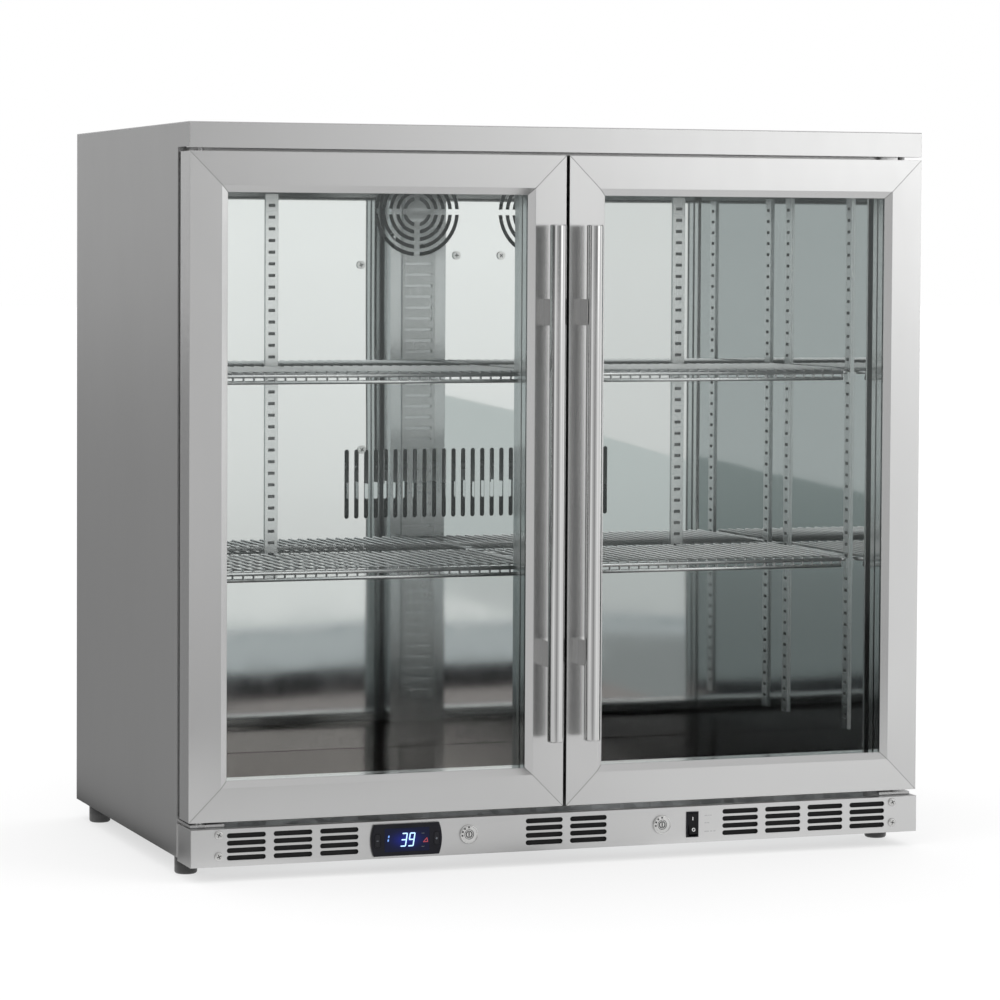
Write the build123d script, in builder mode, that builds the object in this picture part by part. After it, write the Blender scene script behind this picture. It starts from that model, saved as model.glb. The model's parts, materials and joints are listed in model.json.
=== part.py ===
from build123d import *
import os
from math import cos, radians, sin

# Two-door undercounter refrigerator.
# X runs left to right, the doors face -Y and Z is up. The origin is on the floor,
# at the middle of the overall box. Lengths are millimetres.
os.makedirs("parts", exist_ok=True)

# ---- driving dimensions -------------------------------------------------------
width = 900.0
height = 850.0
body_depth = 520.0          # door face to the back of the cabinet
sheet = 1.2                 # outer steel
liner_sheet = 1.0
foot_gap = 22.0             # floor to the base pan
handle_radius = 9.5
handle_standoff = 28.0      # door face to the handle's axis

# ---- frame of reference -------------------------------------------------------
half = width / 2
reach = handle_standoff + handle_radius
door_face = reach - (body_depth + reach) / 2
inner_half = half - sheet


def behind(depth):
    """Y of a point this far behind the plane of the door faces."""
    return door_face + depth


# ---- front-to-back layout, measured behind the door faces ----------------------
cabinet_front = 50.0
cover_depth = 300.0         # evaporator cover and the step wall below it
chamber_depth = 470.0       # liner behind the evaporator
bay_depth = 346.0           # front of the machine bay
back_skin = 517.3           # front face of the rear panel

# ---- heights --------------------------------------------------------------------
band_bottom = height - 29.0
door_top = height - 32.6
door_bottom = height - 782.6
kick_top = height - 789.7
kick_bottom = 18.0
floor_top = 102.0
ceiling = 815.0
opening_top = 782.0
ledge = 350.0               # bottom of the evaporator cover
bay_top = 305.0
foam_bottom = 60.5

# ---- widths ---------------------------------------------------------------------
liner_half = 405.0
mullion_half = 37.0
door_gap = 4.0
cover_half = liner_half - liner_sheet

# ---- door section: u from the door's edge inward, depth behind its face ---------
face_width = 37.5
bevel_width = 45.5
bevel_depth = 5.0
lip_depth = 6.5
tube_width = 34.0
tube_depth = 27.5
frame_depth = 38.0
frame_wall = 1.5
trim_depth = 40.0
glass_edge = 35.0
glass_thickness = 4.0
glass_gap = 12.0
pin_inset = 17.0            # hinge axis from the door's edge
pin_depth = 20.0            # hinge axis behind the door's face
pin_radius = 4.0
running_gap = 0.05

hinge_x = half - pin_inset
door_outer = half
door_inner = door_gap / 2


# ---- helpers --------------------------------------------------------------------
def block(x0, x1, y0, y1, z0, z1, mode=Mode.ADD):
    """Add or cut an upright block between two opposite corners."""
    with Locations(((x0 + x1) / 2, (y0 + y1) / 2, (z0 + z1) / 2)):
        Box(abs(x1 - x0), abs(y1 - y0), abs(z1 - z0), mode=mode)


def rod(start, end, radius, mode=Mode.ADD):
    """Add or cut a round bar between two points."""
    axis = Vector(*end) - Vector(*start)
    with BuildSketch(Plane(origin=start, z_dir=axis)) as section:
        Circle(radius)
    extrude(section.sketch, amount=axis.length, mode=mode)


def front_plane(depth):
    """Sketch plane facing -Y, with X to the right and Z up."""
    return Plane.XZ.offset(-behind(depth))


def save(piece, label):
    piece.part.label = label
    export_step(piece.part, f"parts/{label}.step")


def save_pair(piece, label):
    """Write the left-hand piece and its mirror image."""
    save(piece, f"left_{label}")
    with BuildPart() as twin:
        mirror(piece.part, about=Plane.YZ)
    save(twin, f"right_{label}")


# ---- outer cabinet --------------------------------------------------------------
with BuildPart() as side_panel:
    with BuildSketch(Plane.YZ.offset(-half)):
        with BuildLine():
            Polyline(
                (behind(cabinet_front), foot_gap),
                (behind(body_depth), foot_gap),
                (behind(body_depth), height - sheet),
                (behind(sheet), height - sheet),
                (behind(sheet), band_bottom + sheet),
                (behind(cabinet_front), band_bottom + sheet),
                close=True,
            )
        make_face()
    extrude(amount=sheet)
save_pair(side_panel, "side_panel")

return_depth = 14.0
with BuildPart() as top_panel:
    with BuildSketch(Plane.YZ.offset(-half)):
        with BuildLine():
            Polyline(
                (behind(0), band_bottom),
                (behind(0), height),
                (behind(body_depth), height),
                (behind(body_depth), height - sheet),
                (behind(sheet), height - sheet),
                (behind(sheet), band_bottom + sheet),
                (behind(return_depth), band_bottom + sheet),
                (behind(return_depth), band_bottom),
                close=True,
            )
        make_face()
    extrude(amount=width)
    front_edges = top_panel.edges().filter_by(Axis.X).group_by(Axis.Y)[0]
    fillet(front_edges.sort_by(Axis.Z)[-1], radius=sheet)
save(top_panel, "top_panel")

grille_half = 400.0
grille_bottom = 62.0
grille_top = 292.0
grille_x = -30.0
grille_lap_x = 20.0         # how far the grille covers the panel round its opening
grille_lap_z = 14.0
inlet_x = 408.0
inlet_z = 120.0
inlet_half_width = 14.0
inlet_half_height = 12.5
with BuildPart() as rear_panel:
    block(-inner_half, inner_half, behind(back_skin), behind(back_skin + sheet), foot_gap + 2,
          height - 2 * sheet)
    block(grille_x - grille_half + grille_lap_x, grille_x + grille_half - grille_lap_x,
          behind(back_skin - 5), behind(body_depth), grille_bottom + grille_lap_z, grille_top - grille_lap_z,
          mode=Mode.SUBTRACT)
    block(inlet_x - inlet_half_width, inlet_x + inlet_half_width, behind(back_skin - 5), behind(body_depth),
          inlet_z - inlet_half_height, inlet_z + inlet_half_height, mode=Mode.SUBTRACT)
save(rear_panel, "rear_panel")

louvre_rows = 14
louvre_columns = 5
louvre_length = 130.0
louvre_height = 7.0
louvre_column_pitch = 150.0
louvre_row_pitch = 14.0
with BuildPart() as rear_grille:
    block(grille_x - grille_half, grille_x + grille_half, behind(back_skin + sheet),
          behind(body_depth - 0.3), grille_bottom, grille_top)
    with BuildSketch(front_plane(back_skin)):
        with Locations((grille_x, (grille_bottom + grille_top) / 2)):
            with GridLocations(louvre_column_pitch, louvre_row_pitch, louvre_columns, louvre_rows):
                SlotOverall(louvre_length, louvre_height)
    extrude(amount=-10, mode=Mode.SUBTRACT)
save(rear_grille, "rear_grille")

foot_x = 433.0
foot_depths = (72.0, 469.0)
stem_radius = 5.0
boss_radius = 11.0
boss_height = 14.0
pan_thickness = 1.5
pan_flange = 37.0
pan_window_width = 110.0
pan_window_height = 22.0
pan_window_pitch = 150.0
pan_windows = 5
with BuildPart() as base_pan:
    block(-inner_half, inner_half, behind(cabinet_front), behind(back_skin), foot_gap,
          foot_gap + pan_thickness)
    block(-inner_half, inner_half, behind(cabinet_front), behind(cabinet_front + sheet), foot_gap,
          foot_gap + pan_flange)
    with Locations((0, behind(cabinet_front), foot_gap + 20)):
        with GridLocations(pan_window_pitch, 1, pan_windows, 1):
            Box(pan_window_width, 10, pan_window_height, mode=Mode.SUBTRACT)
    for depth in foot_depths:
        with BuildSketch(Plane.XY.offset(foot_gap)):
            with Locations((-foot_x, behind(depth)), (foot_x, behind(depth))):
                Circle(boss_radius)
        extrude(amount=boss_height)
        with BuildSketch(Plane.XY.offset(foot_gap - 1)):
            with Locations((-foot_x, behind(depth)), (foot_x, behind(depth))):
                Circle(stem_radius + running_gap)
        extrude(amount=boss_height + 2, mode=Mode.SUBTRACT)
save(base_pan, "base_pan")

foot_radius = 13.0
foot_height = foot_gap - 1.5
stem_length = 32.0
for side, side_name in ((-1, "left"), (1, "right")):
    for depth, end_name in zip(foot_depths, ("front", "rear")):
        with BuildPart() as foot:
            with BuildSketch(Plane.XY):
                with Locations((side * foot_x, behind(depth))):
                    Circle(foot_radius)
            extrude(amount=foot_height)
            fillet(foot.edges().group_by(Axis.Z)[0], radius=3)
            chamfer(foot.edges().group_by(Axis.Z)[-1], length=1)
            with BuildSketch(Plane.XY.offset(foot_gap - 2)):
                with Locations((side * foot_x, behind(depth))):
                    Circle(stem_radius)
            extrude(amount=stem_length)
        save(foot, f"{end_name}_{side_name}_foot")

with BuildPart() as front_frame:
    with BuildSketch(front_plane(cabinet_front)):
        with Locations((0, (foam_bottom + height - 2 * sheet) / 2)):
            Rectangle(2 * inner_half, height - 2 * sheet - foam_bottom)
        with Locations((0, (floor_top + opening_top) / 2)):
            Rectangle(2 * liner_half, opening_top - floor_top, mode=Mode.SUBTRACT)
    extrude(amount=-sheet)
save(front_frame, "front_frame")

mullion_depth = 25.0
with BuildPart() as center_mullion:
    block(-mullion_half, mullion_half, behind(cabinet_front), behind(cabinet_front + mullion_depth),
          floor_top, opening_top)
    block(-mullion_half + sheet, mullion_half - sheet, behind(cabinet_front + sheet),
          behind(cabinet_front + mullion_depth - sheet), floor_top - 1, opening_top + 1, mode=Mode.SUBTRACT)
save(center_mullion, "center_mullion")

# ---- foam core -------------------------------------------------------------------
with BuildPart() as insulation_foam:
    block(-inner_half, inner_half, behind(cabinet_front + sheet), behind(back_skin), foam_bottom,
          height - sheet)
    block(-liner_half, liner_half, behind(0), behind(cover_depth + liner_sheet), floor_top - liner_sheet,
          ceiling + liner_sheet, mode=Mode.SUBTRACT)
    block(-liner_half, liner_half, behind(0), behind(chamber_depth + liner_sheet), ledge - liner_sheet,
          ceiling + liner_sheet, mode=Mode.SUBTRACT)
    block(-half, half, behind(bay_depth), behind(body_depth), 0, bay_top, mode=Mode.SUBTRACT)
save(insulation_foam, "insulation_foam")

# ---- inner liner -----------------------------------------------------------------
liner_front = cabinet_front + sheet
with BuildPart() as liner_wall:
    with BuildSketch(Plane.YZ.offset(-liner_half)):
        with BuildLine():
            Polyline(
                (behind(liner_front), floor_top - liner_sheet),
                (behind(cover_depth + liner_sheet), floor_top - liner_sheet),
                (behind(cover_depth + liner_sheet), ledge - liner_sheet),
                (behind(chamber_depth + liner_sheet), ledge - liner_sheet),
                (behind(chamber_depth + liner_sheet), ceiling + liner_sheet),
                (behind(liner_front), ceiling + liner_sheet),
                close=True,
            )
        make_face()
    extrude(amount=liner_sheet)
save_pair(liner_wall, "liner_wall")

with BuildPart() as liner_ceiling:
    block(-cover_half, cover_half, behind(liner_front), behind(chamber_depth), ceiling,
          ceiling + liner_sheet)
save(liner_ceiling, "liner_ceiling")

with BuildPart() as liner_floor:
    block(-cover_half, cover_half, behind(liner_front), behind(cover_depth + liner_sheet),
          floor_top - liner_sheet, floor_top)
    block(-cover_half, cover_half, behind(cover_depth), behind(cover_depth + liner_sheet),
          floor_top - liner_sheet, ledge - liner_sheet)
save(liner_floor, "liner_floor")

with BuildPart() as liner_back_wall:
    block(-cover_half, cover_half, behind(cover_depth), behind(chamber_depth + liner_sheet),
          ledge - liner_sheet, ledge)
    block(-cover_half, cover_half, behind(chamber_depth), behind(chamber_depth + liner_sheet),
          ledge - liner_sheet, ceiling + liner_sheet)
    block(-cover_half, cover_half, behind(chamber_depth - 1), behind(chamber_depth + 2 * liner_sheet),
          ceiling, ceiling + 2 * liner_sheet, mode=Mode.SUBTRACT)
save(liner_back_wall, "liner_back_wall")

# ---- evaporator cover, fans and coil ----------------------------------------------
fan_x = 80.0
fan_z = height - 95.0
guard_ring_radii = (54.0, 45.0, 36.0, 27.0, 18.0)
guard_slot = 4.5
guard_spoke = 7.0
vent_count = 28
vent_pitch = 12.5
vent_width = 5.5
vent_bottom = height - 468.0
vent_top = height - 384.0
cover_lip = 12.0            # bottom edge of the cover, folded back
with BuildPart() as evaporator_cover:
    block(-cover_half, cover_half, behind(cover_depth), behind(cover_depth + liner_sheet), ledge, ceiling)
    block(-cover_half, cover_half, behind(cover_depth), behind(cover_depth + cover_lip), ledge,
          ledge + liner_sheet)
    for radius in guard_ring_radii:
        with BuildSketch(front_plane(cover_depth - 1)):
            with Locations((-fan_x, fan_z), (fan_x, fan_z)):
                Circle(radius)
                Circle(radius - guard_slot, mode=Mode.SUBTRACT)
                Rectangle(guard_spoke, 2 * radius + 2, mode=Mode.SUBTRACT)
                Rectangle(2 * radius + 2, guard_spoke, mode=Mode.SUBTRACT)
        extrude(amount=-liner_sheet - 2, mode=Mode.SUBTRACT)
    with BuildSketch(front_plane(cover_depth - 1)):
        with Locations((0, (vent_bottom + vent_top) / 2)):
            with GridLocations(vent_pitch, 1, vent_count, 1):
                SlotOverall(vent_top - vent_bottom, vent_width, rotation=90)
    extrude(amount=-liner_sheet - 2, mode=Mode.SUBTRACT)
save(evaporator_cover, "evaporator_cover")

fan_frame_front = cover_depth + liner_sheet
fan_frame_depth = 38.0
fan_frame_size = 118.0
fan_bore = 56.0
fan_shaft_radius = 2.5
stator_depth = 30.0         # front of the motor, behind the frame's front
stator_radius = 19.0
stator_arm = 6.0
shaft_front = 6.0
with BuildPart() as evaporator_fan_frames:
    with BuildSketch(front_plane(fan_frame_front)):
        with Locations((-fan_x, fan_z), (fan_x, fan_z)):
            RectangleRounded(fan_frame_size, fan_frame_size, 5)
            Circle(fan_bore, mode=Mode.SUBTRACT)
    extrude(amount=-fan_frame_depth)
    with BuildSketch(front_plane(fan_frame_front + stator_depth)):
        with Locations((-fan_x, fan_z), (fan_x, fan_z)):
            Circle(stator_radius)
            Rectangle(2 * fan_bore + 1, stator_arm)
            Rectangle(stator_arm, 2 * fan_bore + 1)
    extrude(amount=-(fan_frame_depth - stator_depth))
    with BuildSketch(front_plane(fan_frame_front + shaft_front)):
        with Locations((-fan_x, fan_z), (fan_x, fan_z)):
            Circle(fan_shaft_radius)
    extrude(amount=-stator_depth)
save(evaporator_fan_frames, "evaporator_fan_frames")


def fan_blade(label, x, z, front, hub_radius, hub_length, tip_radius, blades, chord, bore):
    """A bladed wheel that faces the front, with its axis along Y."""
    middle = front + hub_length / 2
    mean_radius = (hub_radius + tip_radius) / 2
    with BuildPart() as wheel:
        with BuildSketch(Plane.XZ.offset(-behind(front))):
            with Locations((x, z)):
                Circle(hub_radius)
        extrude(amount=-hub_length)
        with Locations(Plane(origin=(x, behind(middle), z), x_dir=(1, 0, 0), z_dir=(0, -1, 0))):
            with PolarLocations(mean_radius, blades):
                Box(tip_radius - hub_radius + 2, chord, 2.0, rotation=(35, 0, 0))
        with BuildSketch(Plane.XZ.offset(-behind(front + 2))):
            with Locations((x, z)):
                Circle(bore)
        extrude(amount=-hub_length, mode=Mode.SUBTRACT)
    save(wheel, label)


for side, side_name in ((-1, "left"), (1, "right")):
    fan_blade(f"{side_name}_evaporator_fan", side * fan_x, fan_z, fan_frame_front + 3.5, 20, 24, 53, 7, 26,
              fan_shaft_radius + running_gap)

coil_front = 362.0
coil_half = 200.0
coil_depth = 90.0
coil_bottom = 420.0
coil_top = 700.0
fin_pitch = 20.0
fin_count = 19
coil_rows = 7
coil_row_pitch = 40.0
coil_tube_depths = (25.0, 65.0)
coil_tube_radius = 5.0
coil_overhang = 8.0
return_bend_radius = 6.5
with BuildPart() as evaporator_coil:
    with Locations((0, behind(coil_front + coil_depth / 2), (coil_bottom + coil_top) / 2)):
        with GridLocations(fin_pitch, 1, fin_count, 1):
            Box(1.2, coil_depth, coil_top - coil_bottom)
        with GridLocations(2 * coil_half - 10, 1, 2, 1):
            Box(3, coil_depth + 10, coil_top - coil_bottom + 10)
    coil_end = coil_half + coil_overhang
    for row in range(coil_rows):
        tube_z = coil_bottom + coil_row_pitch / 2 + row * coil_row_pitch
        for tube_at in coil_tube_depths:
            tube_y = behind(coil_front + tube_at)
            rod((-coil_end, tube_y, tube_z), (coil_end, tube_y, tube_z), coil_tube_radius)
        for end in (-coil_end, coil_end):
            rod((end, behind(coil_front + coil_tube_depths[0] - 7), tube_z),
                (end, behind(coil_front + coil_tube_depths[1] + 7), tube_z), return_bend_radius)
save(evaporator_coil, "evaporator_coil")

# ---- shelf supports ----------------------------------------------------------------
strip_top = 775.0
side_strip_bottom = 130.0
rear_strip_bottom = 313.0
strip_thickness = 2.5
strip_width = 16.0
mullion_strip_width = 44.0
strip_margin = 4.0
strip_slot_height = 3.5
slot_pitch = 14.0
side_strip_depths = (96.0, 270.0)
rear_strip_x = 265.0
mullion_back = cabinet_front + mullion_depth


def slotted_strip(plane, strip_width, strip_length):
    """A flat steel strip with one row of shelf-clip slots."""
    with BuildSketch(plane) as face:
        Rectangle(strip_width, strip_length)
        with GridLocations(1, slot_pitch, 1, int(strip_length / slot_pitch) - 1):
            Rectangle(strip_width - 2 * strip_margin, strip_slot_height, mode=Mode.SUBTRACT)
    extrude(face.sketch, amount=strip_thickness)


side_strip_middle = (side_strip_bottom + strip_top) / 2
side_strip_length = strip_top - side_strip_bottom
rear_strip_middle = (rear_strip_bottom + strip_top) / 2
with BuildPart() as shelf_pilasters:
    for side in (-1, 1):
        for depth in side_strip_depths:
            slotted_strip(Plane(origin=(side * cover_half, behind(depth), side_strip_middle),
                                x_dir=(0, 1, 0), z_dir=(-side, 0, 0)), strip_width, side_strip_length)
        slotted_strip(Plane(origin=(side * rear_strip_x, behind(cover_depth), rear_strip_middle),
                            x_dir=(1, 0, 0), z_dir=(0, -1, 0)), strip_width, strip_top - rear_strip_bottom)
    slotted_strip(Plane(origin=(0, behind(mullion_back), side_strip_middle),
                        x_dir=(1, 0, 0), z_dir=(0, 1, 0)), mullion_strip_width, side_strip_length)
save(shelf_pilasters, "shelf_pilasters")

# ---- wire shelves --------------------------------------------------------------------
shelf_levels = (("upper", height - 284.0), ("lower", height - 510.0))
shelf_front = 84.0
shelf_back = 292.0
shelf_outer = 396.0
shelf_inner = 5.0
rim_width = 5.0
wire_width = 2.6
wire_pitch = 12.5
cross_count = 5
front_rail_drop = 8.0
clip_drop = 0.1
clip_thickness = 2.0
clip_half_width = 6.0
clip_leg = 12.0
clip_reach = 12.0
mullion_clip_x = 14.0
mullion_clip_half = 5.0


def bar_grid(low, high, bars_x, bars_y):
    """Bars between two heights: (x, width) runs front to back, (y, width) runs across."""
    front_y = behind(shelf_front)
    back_y = behind(shelf_back)
    with BuildSketch(Plane.XY.offset(low)) as grid:
        for x, bar_width in bars_x:
            with Locations((x, (front_y + back_y) / 2)):
                Rectangle(bar_width, back_y - front_y)
        for y, bar_width in bars_y:
            with Locations(((-shelf_outer - shelf_inner) / 2, y)):
                Rectangle(shelf_outer - shelf_inner + rim_width, bar_width)
    extrude(grid.sketch, amount=high - low)


def wire_shelf(level):
    """Left half-width shelf: rim, cross wires and front-to-back wires."""
    front_y = behind(shelf_front)
    back_y = behind(shelf_back)
    wires = int((shelf_outer - shelf_inner) / wire_pitch)
    wire_step = (shelf_outer - shelf_inner) / wires
    rim = [(-shelf_outer, rim_width), (-shelf_inner, rim_width)]
    long_wires = [(-shelf_outer + wire_step * step, wire_width) for step in range(1, wires)]
    cross_wires = [(front_y + (back_y - front_y) * step / cross_count, rim_width - 1)
                   for step in range(1, cross_count)]
    bar_grid(level - rim_width / 2, level + rim_width / 2, rim, [(front_y, rim_width), (back_y, rim_width)])
    bar_grid(level - 0.2, level + wire_width, rim + long_wires, [])
    bar_grid(level - rim_width / 2 + 0.5, level + 0.2, [], cross_wires)
    rail_low = level - front_rail_drop
    bar_grid(rail_low - 2, rail_low + 2, [], [(front_y, 4)])
    for x in (-shelf_outer + 1, (-shelf_outer - shelf_inner) / 2, -shelf_inner - 1):
        block(x - 1.5, x + 1.5, front_y - 1.5, front_y + 1.5, rail_low, level)


for level_name, level in shelf_levels:
    with BuildPart() as shelf:
        wire_shelf(level)
    save(shelf, f"left_{level_name}_shelf")
    with BuildPart() as shelf_twin:
        mirror(shelf.part, about=Plane.YZ)
    save(shelf_twin, f"right_{level_name}_shelf")

with BuildPart() as shelf_clips:
    for _, level in shelf_levels:
        clip_top = level - rim_width / 2 - clip_drop
        for side in (-1, 1):
            wall_x = side * (cover_half - strip_thickness)
            for depth in side_strip_depths:
                clip_front = behind(depth - clip_half_width)
                clip_back = behind(depth + clip_half_width)
                block(wall_x, wall_x - side * clip_reach, clip_front, clip_back, clip_top - clip_thickness,
                      clip_top)
                block(wall_x, wall_x - side * clip_thickness, clip_front, clip_back, clip_top - clip_leg,
                      clip_top)
            rear_y = behind(cover_depth - strip_thickness)
            rear_clip = (side * rear_strip_x - clip_half_width, side * rear_strip_x + clip_half_width)
            block(*rear_clip, rear_y - clip_reach - 2, rear_y, clip_top - clip_thickness, clip_top)
            block(*rear_clip, rear_y - clip_thickness, rear_y, clip_top - clip_leg, clip_top)
            front_y = behind(mullion_back + strip_thickness)
            clip_x = side * mullion_clip_x
            front_clip = (clip_x - mullion_clip_half, clip_x + mullion_clip_half)
            block(*front_clip, front_y, front_y + clip_reach, clip_top - clip_thickness, clip_top)
            block(*front_clip, front_y, front_y + clip_thickness, clip_top - clip_leg, clip_top)
save(shelf_clips, "shelf_clips")

# ---- kick panel ------------------------------------------------------------------------
kick_face = -5.5
kick_half = half - 1
kick_flange = 13.0
slot_rows = 4
slot_row_pitch = 8.35
slot_row_middle = height - 809.9
slot_length = 45.5
slot_height = 5.6
slot_column_pitch = 54.7
slot_groups = ((-329.5, 3), (0.5, 2), (301.5, 4))       # middle of the group, columns
controller_x = -195.2
controller_z = 39.0
controller_width = 85.0
controller_height = 36.5
cutout_half_width = 35.0    # controller body behind its bezel
cutout_half_height = 14.0
lock_x = 119.5
lock_z = 41.0
lock_body_radius = 9.4
switch_x = 158.3
switch_z = 39.4
switch_width = 15.0
switch_height = 30.0
kick_screw_x = 416.5
kick_screw_z = (54.0, 29.8)
screw_clear = 2.2
with BuildPart() as kick_panel:
    block(-kick_half, kick_half, behind(kick_face), behind(cabinet_front), kick_bottom, kick_top)
    block(-kick_half + sheet, kick_half - sheet, behind(kick_face + sheet), behind(cabinet_front + 5),
          kick_bottom + sheet, kick_top - sheet, mode=Mode.SUBTRACT)
    for flange_z in (kick_bottom, kick_top):
        block(-kick_half + sheet, kick_half - sheet, behind(kick_face + kick_flange),
              behind(cabinet_front + 5), flange_z - 2 * sheet, flange_z + 2 * sheet, mode=Mode.SUBTRACT)
    upright = kick_panel.edges().filter_by(Axis.Z).group_by(Axis.Y)[0]
    fillet(upright.sort_by(Axis.X)[0], radius=sheet * 0.9)
    fillet(kick_panel.edges().filter_by(Axis.Z).group_by(Axis.Y)[0].sort_by(Axis.X)[-1], radius=sheet * 0.9)
    with BuildSketch(front_plane(kick_face - 1)):
        for group_x, columns in slot_groups:
            with Locations((group_x, slot_row_middle)):
                with GridLocations(slot_column_pitch, slot_row_pitch, columns, slot_rows):
                    SlotOverall(slot_length, slot_height)
        with Locations((controller_x, controller_z)):
            Rectangle(2 * cutout_half_width + 1, 2 * cutout_half_height + 1)
        with Locations((-lock_x, lock_z), (lock_x, lock_z)):
            Circle(lock_body_radius + 0.1)
        with Locations((switch_x, switch_z)):
            Rectangle(switch_width - 1.6, switch_height - 1.6)
        for screw_z in kick_screw_z:
            with Locations((-kick_screw_x, screw_z), (kick_screw_x, screw_z)):
                Circle(screw_clear)
    extrude(amount=-sheet - 2, mode=Mode.SUBTRACT)
save(kick_panel, "kick_panel")

# ---- temperature controller --------------------------------------------------------------
bezel_thickness = 4.0
bezel_bow = 3.5
bezel_front = kick_face - bezel_thickness
window_width = 54.0
window_height = 27.0
key_x = 35.5
key_width = 6.0
key_height = 15.0
key_gap = 0.3
body_length = 40.0
with BuildPart() as controller_housing:
    with BuildSketch(front_plane(bezel_front)):
        with BuildLine():
            straight = controller_width / 2 - bezel_bow
            rise = controller_height / 2
            left = controller_x - straight
            right = controller_x + straight
            Line((left, controller_z + rise), (right, controller_z + rise))
            ThreePointArc((right, controller_z + rise), (right + bezel_bow, controller_z),
                          (right, controller_z - rise))
            Line((right, controller_z - rise), (left, controller_z - rise))
            ThreePointArc((left, controller_z - rise), (left - bezel_bow, controller_z),
                          (left, controller_z + rise))
        make_face()
    extrude(amount=-bezel_thickness)
    fillet(controller_housing.edges().group_by(Axis.Y)[0], radius=1.6)
    block(controller_x - cutout_half_width, controller_x + cutout_half_width, behind(kick_face),
          behind(kick_face + body_length), controller_z - cutout_half_height,
          controller_z + cutout_half_height)
    block(controller_x - window_width / 2, controller_x + window_width / 2, behind(bezel_front - 1),
          behind(bezel_front + 1.2), controller_z - window_height / 2, controller_z + window_height / 2,
          mode=Mode.SUBTRACT)
    with BuildSketch(front_plane(bezel_front - 1)):
        with Locations((controller_x - key_x, controller_z), (controller_x + key_x, controller_z)):
            RectangleRounded(key_width + 2 * key_gap, key_height + 2 * key_gap, 2.5)
    extrude(amount=-5.2, mode=Mode.SUBTRACT)
save(controller_housing, "controller_housing")

with BuildPart() as controller_display:
    block(controller_x - window_width / 2, controller_x + window_width / 2, behind(bezel_front + 0.2),
          behind(bezel_front + 1.2), controller_z - window_height / 2, controller_z + window_height / 2)
save(controller_display, "controller_display")

for side, key_name in ((-1, "left"), (1, "right")):
    with BuildPart() as key:
        with BuildSketch(front_plane(bezel_front - 0.5)):
            with Locations((controller_x + side * key_x, controller_z)):
                RectangleRounded(key_width, key_height, 2.2)
        extrude(amount=-3.5)
        fillet(key.edges().group_by(Axis.Y)[0], radius=0.4)
    save(key, f"{key_name}_controller_key")

# ---- door locks ------------------------------------------------------------------------------
lock_flange_radius = 11.2
lock_flange_thickness = 2.2
plug_radius = 5.0
cam_depth = 12.0
cam_thickness = 2.5
cam_length = 36.0
cam_width = 10.0
lock_end = 11.0
with BuildPart() as lock_bodies:
    for side in (-1, 1):
        with BuildSketch(front_plane(kick_face - lock_flange_thickness)):
            with Locations((side * lock_x, lock_z)):
                Circle(lock_flange_radius)
        extrude(amount=-lock_flange_thickness)
        with BuildSketch(front_plane(kick_face)):
            with Locations((side * lock_x, lock_z)):
                Circle(lock_body_radius)
        extrude(amount=-(lock_end - kick_face))
    fillet(lock_bodies.edges().group_by(Axis.Y)[0], radius=1.2)
    for side in (-1, 1):
        with BuildSketch(front_plane(kick_face - lock_flange_thickness - 1)):
            with Locations((side * lock_x, lock_z)):
                Circle(plug_radius + running_gap)
        extrude(amount=-30, mode=Mode.SUBTRACT)
save(lock_bodies, "lock_bodies")

with BuildPart() as lock_cam:
    plug_front = kick_face - lock_flange_thickness + 0.4
    with BuildSketch(front_plane(plug_front)):
        with Locations((-lock_x, lock_z)):
            Circle(plug_radius)
    extrude(amount=-(cam_depth - plug_front))
    with BuildSketch(front_plane(plug_front)):
        with Locations((-lock_x, lock_z)):
            SlotOverall(6, 1.4, rotation=90)
    extrude(amount=-6, mode=Mode.SUBTRACT)
    with BuildSketch(front_plane(cam_depth)):
        with Locations((-lock_x + (cam_length - cam_width / 2) / 2, lock_z)):
            SlotOverall(cam_length + cam_width / 2, cam_width)
    extrude(amount=-cam_thickness)
    with BuildSketch(front_plane(cam_depth + cam_thickness)):
        with Locations((-lock_x, lock_z)):
            RegularPolygon(4.0, 6)
    extrude(amount=-3)
save_pair(lock_cam, "lock_cam")

# ---- rocker switch ---------------------------------------------------------------------------
switch_bezel = 2.0
switch_body_depth = 14.0
rocker_half_width = 5.3
rocker_half_height = 12.0
rocker_pivot = kick_face + 1.5
rocker_tilt = 10.0
trunnion_radius = 1.2
with BuildPart() as switch_housing:
    block(switch_x - switch_width / 2, switch_x + switch_width / 2, behind(kick_face - switch_bezel),
          behind(kick_face), switch_z - switch_height / 2, switch_z + switch_height / 2)
    fillet(switch_housing.edges().group_by(Axis.Y)[0], radius=0.8)
    block(switch_x - 6.5, switch_x + 6.5, behind(kick_face), behind(kick_face + switch_body_depth),
          switch_z - 14, switch_z + 14)
    block(switch_x - 5.5, switch_x + 5.5, behind(kick_face - 5), behind(kick_face + 10),
          switch_z - 13.4, switch_z + 13.4, mode=Mode.SUBTRACT)
    rod((switch_x - 6.3, behind(rocker_pivot), switch_z), (switch_x + 6.3, behind(rocker_pivot), switch_z),
        trunnion_radius + running_gap, mode=Mode.SUBTRACT)
save(switch_housing, "switch_housing")

rocker_plane = Plane(origin=(switch_x - rocker_half_width, behind(rocker_pivot), switch_z),
                     x_dir=(0, -cos(radians(rocker_tilt)), sin(radians(rocker_tilt))), z_dir=(1, 0, 0))
with BuildPart() as rocker:
    with BuildSketch(rocker_plane):
        with BuildLine():
            Polyline((-4, -5), (-4, 5), (1, rocker_half_height), (5.5, rocker_half_height), (3.4, 0),
                     (5.5, -rocker_half_height), (1, -rocker_half_height), close=True)
        make_face()
    extrude(amount=2 * rocker_half_width)
    rod((switch_x - 6.1, behind(rocker_pivot), switch_z), (switch_x + 6.1, behind(rocker_pivot), switch_z),
        trunnion_radius)
save(rocker, "power_rocker")

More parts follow.
